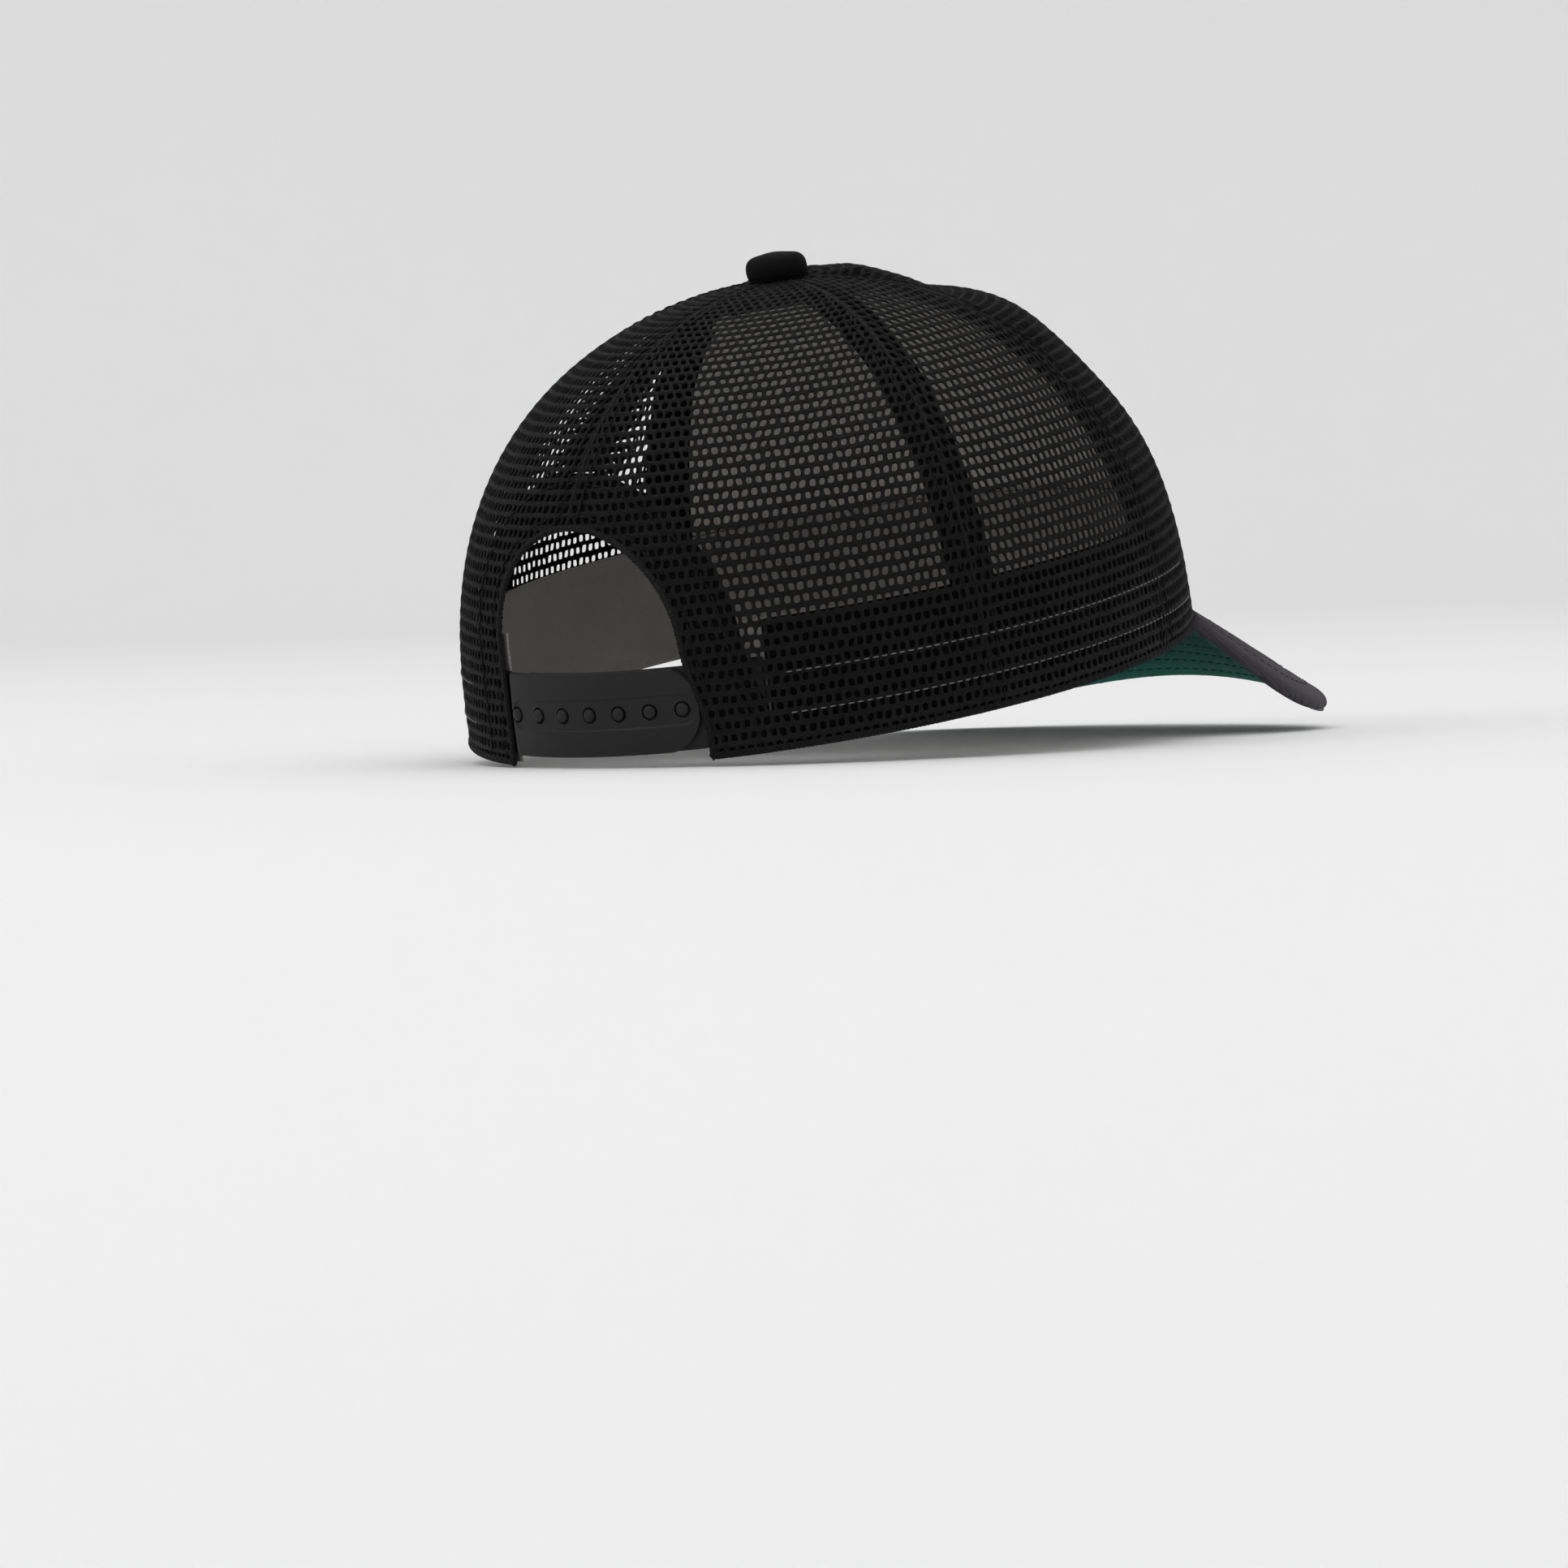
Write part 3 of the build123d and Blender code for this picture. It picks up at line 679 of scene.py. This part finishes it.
def tape_over_seam(name, node, seam, start_climb, reach_back, reach_front):
    """A tape one tape-width wide that lies under a seam, narrower near the button."""
    cut = Cut(seam)
    top = cut.climb_to_radius(net_top_radius - 2)
    climb, way = np.meshgrid(np.linspace(start_climb, top, 120), np.linspace(-1, 1, 15), indexing="ij")
    share = np.interp(climb, cut.climbed, cut.shares)
    room_back = np.minimum(tape_width / 2, share * np.radians(reach_back) * half_width)
    room_front = np.minimum(tape_width / 2, share * np.radians(reach_front) * half_width)
    across = np.where(way < 0, way * room_back, way * room_front)
    azimuths, turns = cut.locate(across, climb)
    ridge = 0.03 * np.cos(way * 20) + 0.03 * np.sin(climb / 3)
    add_sheet(name, dome_grid(azimuths, turns, tape, ridge), tape_cloth, "seam_tape", node,
              uv=np.stack((across, climb), -1), flat=(tape_width * MM, (top - start_climb) * MM))


for side, wing in wings:
    reaches = ((side_seam / 2 - 0.5), (front_seam - side_seam) / 2 - 0.5)[::side]
    tape_over_seam(f"{wing}_side_tape", f"{wing}_side_seam_tape", side * side_seam, 0, *reaches)
    reach = (front_seam - side_seam) / 2 - 0.5
    tape_over_seam(f"{wing}_front_tape", f"{wing}_front_seam_tape", side * front_seam, 0, reach, reach)
rear_cut = Cut(0)
rear_tape_start = float(np.interp(arch_top + arch_binding_width + 0.4, rear_cut.heights, rear_cut.climbed))
tape_over_seam("rear_centre_tape_cloth", "rear_centre_tape", 0, rear_tape_start, 31, 31)

lines = [arch_line(margin, 160) for margin in np.linspace(0.2, arch_binding_width, 12)]
azimuths, turns = rear_wall(np.array([x for x, _ in lines]), np.array([h for _, h in lines]))
grids = dome_grid(azimuths, turns, tape, 0.03 * np.sin(np.arange(160) / 2))
add_sheet("arch_binding_cloth", grids, tape_cloth, "seam_tape", "arch_binding",
          flat=(arch_binding_width * MM, 0.169))

# ---- sweatband ----
sweatband_rows, band_columns = 40, 420
band_clearance, hem_allowance = 0.7, 0.3      # from the arch's edge, and from the band's top and bottom
heights = np.linspace(hem_allowance, sweatband_height - hem_allowance, sweatband_rows)
rounding = arch_half_width - np.sqrt(arch_half_width ** 2 - np.maximum(heights - arch_straight, 0) ** 2)
band_ends = []
for side in (-1, 1):
    edge = arch_centre(heights) + side * (arch_reach(heights, band_clearance, side) - np.maximum(rounding, 0))
    band_ends.append(rear_wall(edge, heights)[0])
band_span = 360 + band_ends[1] - band_ends[0]
azimuths = band_ends[0][:, None] + band_span[:, None] * np.linspace(0, 1, band_columns)
heights = np.broadcast_to(heights[:, None], azimuths.shape)
turns = turn_at_height(heights)
fullness = np.sin(heights / sweatband_height * np.pi)
ripple = 0.1 * np.sin(azimuths * 0.9 + np.sin(azimuths * 0.23) * 3) * fullness
groove = sum(0.22 * np.exp(-((heights - at) / 0.8) ** 2) for at in (3.5, sweatband_height - 4))
grids = dome(azimuths, turns, band[0] + 0.02), dome(azimuths, turns, band[1] + ripple - groove)
add_sheet("sweatband_cloth_cover", grids, sweatband_cloth, "sweatband", "sweatband_cover",
          flat=(sweatband_height * MM, 0.517), rests_on=["sweatband_padding"])

padding_azimuths = azimuth_at(55.7), 360 + azimuth_at(-40.1)
azimuths, heights = np.meshgrid(np.linspace(*padding_azimuths, 260),
                                np.linspace(0.8, sweatband_height - 0.8, 30))
plump = 0.12 * np.sin((heights - 0.5) / 4 * np.pi) ** 2
outer = dome(azimuths, turn_at_height(heights), padding[0] + plump)
inner = dome(azimuths, turn_at_height(heights), padding[1])
pad = dress(add_cloth("sweatband_foam", outer, inner, padding_cloth), "padding", "sweatband_padding")


def level_line(height, start, stop, count=500, depth=0.0):
    """A level line round the crown, with its outward directions."""
    return on_dome(np.linspace(start, stop, count), turn_at_height(height), depth)


# ---- hems, seams and their stitching ----
def hem(name, line, outward, radius, flatten=0.8):
    """A rolled and slightly ragged edge of the net, one lobe for each loop of yarn."""
    way = walked(line)
    sides = 12
    angle = np.arange(sides) * 2 * np.pi / sides
    lobes = 0.13 * np.sin(2 * np.pi * way / net_pitch)[:, None] * np.cos(angle)[None]
    twist = 0.09 * np.sin(2 * np.pi * way[:, None] / 1.1 + angle[None] * 2)
    rough = chance.normal(0, 0.035, (len(way), sides))
    return add_tube(name, line, outward, radius * (1 + lobes + twist + rough), hem_yarn, flatten)


hem_radius = 0.85
visor_root_degrees = 49.0    # half the angle of the rim that the visor is sewn to
for side, wing in wings:
    arch_foot = float(rear_wall(arch_centre(0.9) - side * arch_reach(0.9, 0.3, -side), 0.9)[0])
    line, outward = level_line(hem_radius, arch_foot, side * (180 - visor_root_degrees + 1.5), 1100, 0.4)
    dress(hem(f"{wing}_rim_hem", line, outward, hem_radius), "mesh_fabric")

x, height = arch_line(-0.1, 1500)
line, outward = on_dome(*rear_wall(x, np.maximum(height, 0.5)), 0.5)
dress(hem("arch_hem", line, outward, hem_radius), "mesh_fabric")


def seam_line(seam, across, low_climb, depth):
    """A line up the dome beside a seam, with its outward directions."""
    cut = Cut(seam)
    climb = np.linspace(low_climb, cut.climb_to_radius(net_top_radius - 1), 500)
    share = np.interp(climb, cut.climbed, cut.shares)
    azimuths, turns = cut.locate(across * np.minimum(1, share * 3), climb)
    return on_dome(azimuths, turns, depth)


arch_climb = float(np.interp(arch_top, rear_cut.heights, rear_cut.climbed))
seams = [("rear_seam", 0, arch_climb + 0.5)]
for side, wing in wings:
    seams += [(f"{wing}_side_seam", side * side_seam, 1.0), (f"{wing}_front_seam", side * front_seam, 1.0)]
for name, seam, low_climb in seams:
    line, outward = seam_line(seam, 0, low_climb, 0.25)
    dress(hem(name, line, outward, 0.5, 0.7), "mesh_fabric")
    rows = [seam_line(seam, across, low_climb + 1, 0.0) for across in (-3.2, 3.2)]
    dress(add_stitches(f"{name}_stitching", rows, black_thread, 2.4), "mesh_fabric")

# Two rows of sweatband stitching in light grey thread; the light colour is a painted glint along the mesh
# over the sweatband.
rows = [level_line(height, side * start, side * stop) for side, start in ((1, 38), (-1, 28))
        for height, stop in ((9.0, 126), (19.0, 122))]
dress(add_stitches("sweatband_stitching_painted_glint", rows, painted_glint_thread, 1.5, 0.85, 0.17, 0.0), "mesh_fabric")

lines = []
for margin in (2.6, 9.8):
    x, height = arch_line(margin, 700)
    lines.append(on_dome(*rear_wall(x, np.maximum(height, 1.0))))
dress(add_stitches("arch_stitching", lines, black_thread), "mesh_fabric")

# ---- button ----
button_radius, button_height, button_base = 7.9, 6.8, crown_height + 0.1
spokes, levels = 96, 44
way, angle = np.meshgrid(np.linspace(0, 1, levels), np.arange(spokes) * 2 * np.pi / spokes, indexing="ij")
top = button_height - 0.1
dome_share = 0.72            # of the way from the top's middle down to the foot
round_part = np.clip(way / dome_share, 0, 1) * np.pi / 2
radius = button_radius * np.sin(round_part) ** 0.62
height = top * 0.36 + top * 0.64 * np.cos(round_part) ** 0.75
below = np.clip((way - dome_share) / (1 - dome_share), 0, 1)
height = np.where(way > dome_share, top * 0.36 * (1 - below), height)
radius = np.where(way > dome_share, button_radius - 1.1 * below ** 2, radius)
folds = (np.sin(angle * 7 + 0.6) * 0.5 + np.sin(angle * 11 + 2.0 + way * 2) * 0.35
         + np.sin(angle * 17 + 4.0) * 0.25)
radius = radius + folds * (0.06 + 0.3 * below) * np.clip(way * 2, 0, 1)
along_crease, off_crease = np.cos(angle - 0.5) * radius, np.sin(angle - 0.5) * radius
creases = 0.12 * np.sin(along_crease * 0.9 + 1.0) * np.exp(-(off_crease / 5) ** 2)
height = height + creases * np.clip(1 - below, 0, 1)
points = np.stack((radius * np.cos(angle), radius * np.sin(angle), button_base + height), -1).reshape(-1, 3)
index, faces = numbered_rings(levels, spokes)
faces.append(index[-1].tolist())
uv = np.stack((radius * np.cos(angle), radius * np.sin(angle) + below * 4), -1).reshape(-1, 2)
button = add_piece("button_cover_cloth", points, faces, button_cloth, uv, weld=0.01)
dress(button, "button_fabric", "button_cover")

# ---- visor ----
visor_slope = math.radians(32.3)
visor_root = math.radians(visor_root_degrees)
visor_half_width, visor_widest, visor_reach = 73.7, 8.2, 46.0
visor_corner = (55.3, 30.2)
visor_clearance = 0.15
slope_cos, slope_sin = math.cos(visor_slope), math.sin(visor_slope)


def rim_front(x):
    rest = np.sqrt(1 - (x / half_width) ** 2)
    return half_length_front * rest, half_length_front * x / half_width ** 2 / rest


def visor_surface(plan, offset):
    """Points of the visor over points of its plan, lifted square to its surface by an offset."""
    x, y = plan[..., 0], plan[..., 1]
    front, fall = rim_front(x)
    square = np.stack((fall * slope_sin, -slope_sin * np.ones_like(x), slope_cos * np.ones_like(x)), -1)
    square = unit(square)
    spot = np.stack((x, y, (y + front) * slope_sin / slope_cos), -1)
    return spot + square * np.asarray(offset)[..., None], square


def curve_through(points, first_way, last_way, count):
    """A smooth line through three points, with its directions at both ends."""
    a, b, c = map(np.array, points)
    first_way, last_way = (np.array(way) / np.hypot(*way) for way in (first_way, last_way))
    near, far = np.hypot(*(b - a)), np.hypot(*(c - b))
    through = (3 * (far * (b - a) / near + near * (c - b) / far) - far * first_way - near * last_way)
    through = through / (2 * (near + far))
    line = []
    pieces = ((a, b, near, first_way, through), (b, c, far, through, last_way))
    for start, end, length, leave, arrive in pieces:
        t = np.linspace(0, 1, count)[:, None]
        line.append((2 * t ** 3 - 3 * t ** 2 + 1) * start + (t ** 3 - 2 * t ** 2 + t) * length * leave
                    + (3 * t ** 2 - 2 * t ** 3) * end + (t ** 3 - t ** 2) * length * arrive)
    return np.concatenate((line[0][:-1], line[1]))


def resample(line, count):
    way = walked(line)
    stops = np.linspace(0, way[-1], count)
    return np.stack([np.interp(stops, way, line[:, k]) for k in range(line.shape[1])], -1)


def visor_outline(inset, count=181):
    """The free edge of the visor in plan, from the wearer's left root round to the right one."""
    root = np.array((half_width * math.sin(visor_root), -half_length_front * math.cos(visor_root)))
    widest = np.array((visor_half_width, visor_widest - half_length_front))
    corner = np.array((visor_corner[0], -half_length_front - visor_corner[1]))
    tip = np.array((0.0, -half_length_front - visor_reach))
    flank = curve_through(((root[0] - 6, root[1] + 14), root, widest), (0.5, -1), (0, -1), 60)[59:]
    nose = curve_through((widest, corner, tip), (0, -1), (-1, 0), 90)
    half = np.concatenate((flank[:-1], nose))
    line = resample(np.concatenate((half, half[-2::-1] * (-1, 1))), count)
    ahead = np.gradient(line, axis=0)
    ahead = unit(ahead)
    return line + np.stack((ahead[:, 1], -ahead[:, 0]), -1) * inset


def visor_plan(inset, count, rows):
    """A grid over the visor's plan: rows from the crown out to the free edge."""
    edge = visor_outline(inset, count)
    way = np.linspace(-1, 1, count)
    x = -np.sign(way) * np.abs(way) ** 1.08 * (half_width * math.sin(visor_root) - 0.5)
    rest = np.sqrt(1 - (x / (half_width + visor_clearance)) ** 2)
    rim = np.stack((x, -rest * (half_length_front + visor_clearance)), -1)
    return rim + (edge - rim) * np.asarray(rows)[:, None, None]


cover_inside, cover_outside = 1.1, 1.8
fold_inset, board_inset = 1.9, 0.75       # where the cover starts to turn over, and the board's edge
lip_turn = np.pi * 0.92
edge_columns = 361
stitch_insets = (5.5, 11.5, 17.5, 23.5, 29.5, 35.5)


def quilting(plan, amount):
    """How far the stitch rows pull the cloth in."""
    pulled = np.zeros(plan.shape[:2])
    for inset in stitch_insets:
        row = visor_outline(inset, 241)
        gap = np.min(np.linalg.norm(plan[:, :, None] - row[None, None], axis=3), axis=2)
        pulled = np.maximum(pulled, np.exp(-(gap / 1.1) ** 2))
    return amount * pulled


edge_line, fold_line, board_line = (visor_outline(inset, edge_columns)
                                    for inset in (0, fold_inset, board_inset))
way = np.linspace(-1, 1, edge_columns)
round_way = walked(edge_line)
slack = np.clip(1.25 - np.abs(way) * 1.1, 0.35, 1)
wide_puckers = np.sin(round_way / 0.95 + 1.2 * np.sin(round_way / 9))
puckers = (wide_puckers * 0.6 + np.sin(round_way / 0.55 + 2) * 0.4) * slack
flat_rows = np.concatenate((np.linspace(0, 0.9, 46), np.linspace(0.9, 1, 14)[1:]))
top_plan = visor_plan(fold_inset, edge_columns, flat_rows)
near_edge = np.exp(-((1 - flat_rows[:, None]) / 0.07) ** 2)
drape = 0.16 * np.sin(top_plan[..., 0] / 11 + top_plan[..., 1] / 17) * np.sin(flat_rows[:, None] * np.pi)
top_offset = cover_outside - quilting(top_plan, 0.22) + near_edge * puckers * 0.16 + drape
top_face, _ = visor_surface(top_plan, top_offset)
under_face, _ = visor_surface(top_plan, top_offset - (cover_outside - cover_inside))

lip_outer, lip_inner = [], []
for turn in np.linspace(0, lip_turn, 13)[1:]:
    pleat = puckers * (0.2 * math.sin(turn) + 0.1)
    plan = edge_line + (fold_line - edge_line) * (1 - math.sin(turn) * (1 + pleat[:, None] * 0.25))
    lip_outer.append(visor_surface(plan, (cover_outside + pleat) * math.cos(turn))[0])
    plan = fold_line + (board_line - fold_line) * math.sin(turn)
    lip_inner.append(visor_surface(plan, np.full(edge_columns, cover_inside * math.cos(turn)))[0])
grids = np.concatenate((top_face, lip_outer)), np.concatenate((under_face, lip_inner))
add_sheet("visor_top_cloth", grids, visor_cloth, "visor_fabric", "visor_top_cover",
          flat=(0.154, 0.100), rests_on=["visor_board"], area=0.0100)

under_rows = np.linspace(0, 1, 56)
under_plan = visor_plan(1.2, edge_columns, under_rows)
under_offset = -cover_outside + quilting(under_plan, 0.25)
grids = [visor_surface(under_plan, offset)[0]
         for offset in (under_offset, np.full(under_plan.shape[:2], -cover_inside))]
add_sheet("visor_under_cloth", grids, underside_cloth, "visor_underside", "visor_under_cover",
          flat=(0.148, 0.097), rests_on=["visor_board"], area=0.0087)


def visor_stitch_rows(offset, direction):
    """The stitch rows of one face, each cut off where it reaches the crown."""
    rows = []
    for inset in stitch_insets:
        plan = visor_outline(inset, 500)
        front = rim_front(np.clip(plan[:, 0], -80, 80))[0]
        plan = plan[-plan[:, 1] > front + 4]
        line, square = visor_surface(plan, np.full(len(plan), offset))
        rows.append((line, square * direction))
    return rows


for name, offset, direction, thread, slot in (
        ("visor_top_stitching", cover_outside - 0.16, 1, plum_thread, "visor_fabric"),
        ("visor_under_stitching", -cover_outside + 0.18, -1, green_thread, "visor_underside")):
    dress(add_stitches(name, visor_stitch_rows(offset, direction), thread, 2.3), slot)

# ---- snap strap ----
strap_pitch, strap_pegs, first_peg = 8.55, 7, -17.7
hole_strap_hinge, peg_strap_hinge = -21.4, 37.0
hole_strap_end, peg_strap_end, strap_end_radius = 37.9, -20.9, 9.0
hole_tab_end, peg_tab_end = -38.6, 54.2
outer_strap, inner_strap = (0.0, 1.3), (1.6, 2.9)
peg_radius, hole_radius, edge_bevel = 1.6, 2.05, 0.25
track_depth, track_half_height, track_edge, track_start = 0.3, 3.7, 0.3, -15.4
strap_step = 0.3             # between the mesh columns along a strap
peg_distances = first_peg + strap_pitch * np.arange(strap_pegs)


def strap_point(distance, height, depth):
    azimuth = azimuth_at(distance)
    return dome(azimuth, turn_at_height(height), depth)


def strap_slab(start, end, depths):
    """Both faces of a strap between two distances; its end is rounded, and depths gives their depths."""
    way = 1 if end > start else -1
    length = abs(end - start)
    straight_length = length - strap_end_radius
    straight = np.linspace(0, straight_length, int(length / strap_step))
    bend = straight_length + strap_end_radius * np.sin(np.linspace(0, 1, 20) * np.pi / 2)[1:]
    along = np.concatenate((straight, bend))
    over = np.clip(along - straight_length, 0, strap_end_radius)
    half = strap_half - strap_end_radius + np.sqrt(np.maximum(strap_end_radius ** 2 - over ** 2, 0))
    rows = np.linspace(-1, 1, 83)[:, None]
    distance = (start + way * along)[None]
    heights = strap_middle + rows * (half - edge_bevel * np.abs(rows) ** 8)
    return [strap_point(distance, heights, depth) for depth in depths(distance, heights)]


def cut_away(piece, cutters):
    """Subtracts the cutter objects from a piece for good."""
    for cutter in cutters:
        modifier = piece.modifiers.new("cut", "BOOLEAN")
        modifier.operation = "DIFFERENCE"
        modifier.solver = "EXACT"
        modifier.object = cutter
    graph = bpy.context.evaluated_depsgraph_get()
    mesh = bpy.data.meshes.new_from_object(piece.evaluated_get(graph))
    piece.modifiers.clear()
    piece.data = mesh
    for cutter in cutters:
        bpy.data.objects.remove(cutter)


def lathe(distance, profile_points, name, sides=32):
    """A turned shape that stands on the strap; its profile is (radius, depth) from foot to top."""
    foot, top = strap_point(distance, strap_middle, 1.0), strap_point(distance, strap_middle, 0.0)
    axis = unit(top - foot)
    ahead = strap_point(distance + 1, strap_middle, 0.0) - strap_point(distance - 1, strap_middle, 0.0)
    ahead -= axis * (ahead @ axis)
    ahead = unit(ahead)
    upward = np.cross(axis, ahead)
    angle = np.arange(sides) * 2 * np.pi / sides
    around = np.cos(angle)[:, None] * ahead + np.sin(angle)[:, None] * upward
    points = np.concatenate([top - axis * depth + around * radius for radius, depth in profile_points])
    index, faces = numbered_rings(len(profile_points), sides)
    faces += [index[0].tolist(), index[-1][::-1].tolist()]
    return add_piece(name, points, faces, strap_plastic)


def hole_strap_depths(distance, heights):
    """The strap steps inwards at its root, to pass under the crown, and a shallow track runs along it."""
    sunk = np.clip((hole_strap_hinge + 2.2 - distance) / 3.0, 0, 1)
    sunk = (inner_strap[0] - outer_strap[0]) * sunk * sunk * (3 - 2 * sunk)
    beyond = np.maximum(np.maximum(track_start - distance, distance - peg_distances[-1]), 0)
    reach = np.hypot(beyond, heights - strap_middle)
    track = track_depth * np.clip((track_half_height - reach) / track_edge + 0.5, 0, 1)
    return outer_strap[0] + sunk + track, outer_strap[1] + sunk


def soften_edges(piece, angle=35):
    """Keeps sharp steps crisp and the rest smooth."""
    shape = bmesh.new()
    shape.from_mesh(piece.data)
    for edge in shape.edges:
        edge.smooth = not (len(edge.link_faces) == 2 and edge.calc_face_angle(0) > math.radians(angle))
    shape.to_mesh(piece.data)
    shape.free()
    piece.data.polygons.foreach_set("use_smooth", [True] * len(piece.data.polygons))


hole_strap_faces = strap_slab(hole_tab_end, hole_strap_end, hole_strap_depths)
hole_strap = add_cloth("hole_strap_moulding", *hole_strap_faces, strap_plastic)
hole_profile = ((hole_radius, 4.0), (hole_radius, -1.5))
cutters = [lathe(distance, hole_profile, f"hole_cutter_{number}", 40)
           for number, distance in enumerate(peg_distances)]
cut_away(hole_strap, cutters)
soften_edges(hole_strap)

peg_strap_faces = strap_slab(peg_tab_end, peg_strap_end, lambda distance, heights: inner_strap)
peg_strap = add_cloth("peg_strap_moulding", *peg_strap_faces, strap_plastic)
shoulder, crest = 0.1, 0.6   # depth where a peg starts to round off, and how far it rises from there
peg_profile = [(peg_radius, inner_strap[0] + 0.3), (peg_radius, shoulder)]
for turn in np.linspace(0, 1.45, 8)[1:]:
    peg_profile.append((peg_radius * math.cos(turn), shoulder - crest * math.sin(turn)))
pegs = [lathe(distance, peg_profile, f"peg_{number}") for number, distance in enumerate(peg_distances)]
with bpy.context.temp_override(active_object=peg_strap, selected_editable_objects=[peg_strap] + pegs):
    bpy.ops.object.join()
soften_edges(peg_strap)

bend_reach = 3.0             # how far on both sides of its bending line each strap would turn over; the straps are not bent
for strap, body, hinge, side, depth in ((hole_strap, "hole_strap", hole_strap_hinge, -1, 0.65),
                                        (peg_strap, "peg_strap", peg_strap_hinge, 1, 2.25)):
    start = placed(strap_point(hinge + side * bend_reach, strap_middle, depth))
    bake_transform(strap)
    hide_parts(body, f"{body}_tab")

# ---- studio ----
def studio_bowl():
    """A pale floor that curves up into a round wall, far outside the cap."""
    flat, curve, wall = 2.6, 1.2, 4.2
    arc = np.linspace(0, math.pi / 2, 24)
    radii = np.concatenate((np.linspace(0.02, flat, 12), flat + curve * np.sin(arc)[1:], [flat + curve]))
    heights = np.concatenate((np.zeros(12), curve - curve * np.cos(arc)[1:], [wall]))
    sides = 128
    angle = np.arange(sides) * 2 * np.pi / sides
    points = np.stack((radii[:, None] * np.cos(angle), radii[:, None] * np.sin(angle),
                       np.broadcast_to(heights[:, None], (len(radii), sides))), -1).reshape(-1, 3)
    index, faces = numbered_rings(len(radii), sides)
    faces.append(index[0][::-1].tolist())
    mesh = bpy.data.meshes.new("studio_floor")
    mesh.from_pydata(points.tolist(), [], faces)
    mesh.polygons.foreach_set("use_smooth", [True] * len(mesh.polygons))
    floor = bpy.data.objects.new("studio_floor", mesh)
    bpy.context.scene.collection.objects.link(floor)
    material, tree, shader = new_material("studio_paper", (0.8, 0.8, 0.8), 0.9, Specular_IOR_Level=0.1)
    tree.links.new(ramp(tree, noise(tree, 1.2, 2.0), (0.79, 0.79, 0.79), (0.82, 0.82, 0.82)),
                   shader.inputs["Base Color"])
    mesh.materials.append(material)


def area_light(name, place, size, power):
    """A soft light that faces the middle of the cap."""
    light = bpy.data.lights.new(name, "AREA")
    light.shape = "RECTANGLE"
    light.size, light.size_y = size
    light.energy = power
    holder = bpy.data.objects.new(name, light)
    holder.location = place
    holder.rotation_euler = (Vector(cap_middle) - Vector(place)).to_track_quat("-Z", "Y").to_euler()
    bpy.context.scene.collection.objects.link(holder)


studio_bowl()
world = bpy.data.worlds.new("studio")
world.use_nodes = True
world.node_tree.nodes["Background"].inputs["Color"].default_value = (1, 1, 1, 1)
world.node_tree.nodes["Background"].inputs["Strength"].default_value = 1.17
bpy.context.scene.world = world
cap_middle = (0, 0, 0.06)
area_light("key", (0.7, 2.2, 1.3), (1.0, 1.0), 12)
area_light("fill", (-1.8, 0.6, 1.2), (1.6, 1.2), 1)
area_light("top", (0, 0, 2.4), (1.8, 1.8), 5)

# ---- camera at the photograph's angle ----
camera_azimuth, camera_elevation, camera_roll = map(math.radians, (220.02, 1.33, -1.70))
camera_distance, camera_lens, sensor = 1.5012, 132.87, 36.0
backward = np.array((math.sin(camera_azimuth) * math.cos(camera_elevation),
                     -math.cos(camera_azimuth) * math.cos(camera_elevation), math.sin(camera_elevation)))
level_right = np.array((math.cos(camera_azimuth), math.sin(camera_azimuth), 0.0))
level_up = np.cross(backward, level_right)
right = level_right * math.cos(camera_roll) + level_up * math.sin(camera_roll)
above = -level_right * math.sin(camera_roll) + level_up * math.cos(camera_roll)
camera_data = bpy.data.cameras.new("camera")
camera_data.lens, camera_data.sensor_width = camera_lens, sensor
camera_data.shift_x, camera_data.shift_y = -0.0326, -0.0657
camera = bpy.data.objects.new("camera", camera_data)
camera.matrix_world = Matrix(((right[0], above[0], backward[0], 0), (right[1], above[1], backward[1], 0),
                              (right[2], above[2], backward[2], 0), (0, 0, 0, 1)))
camera.location = rim_middle + backward * camera_distance
bpy.context.scene.collection.objects.link(camera)
bpy.context.scene.camera = camera
bpy.context.scene.view_settings.view_transform = "Standard"
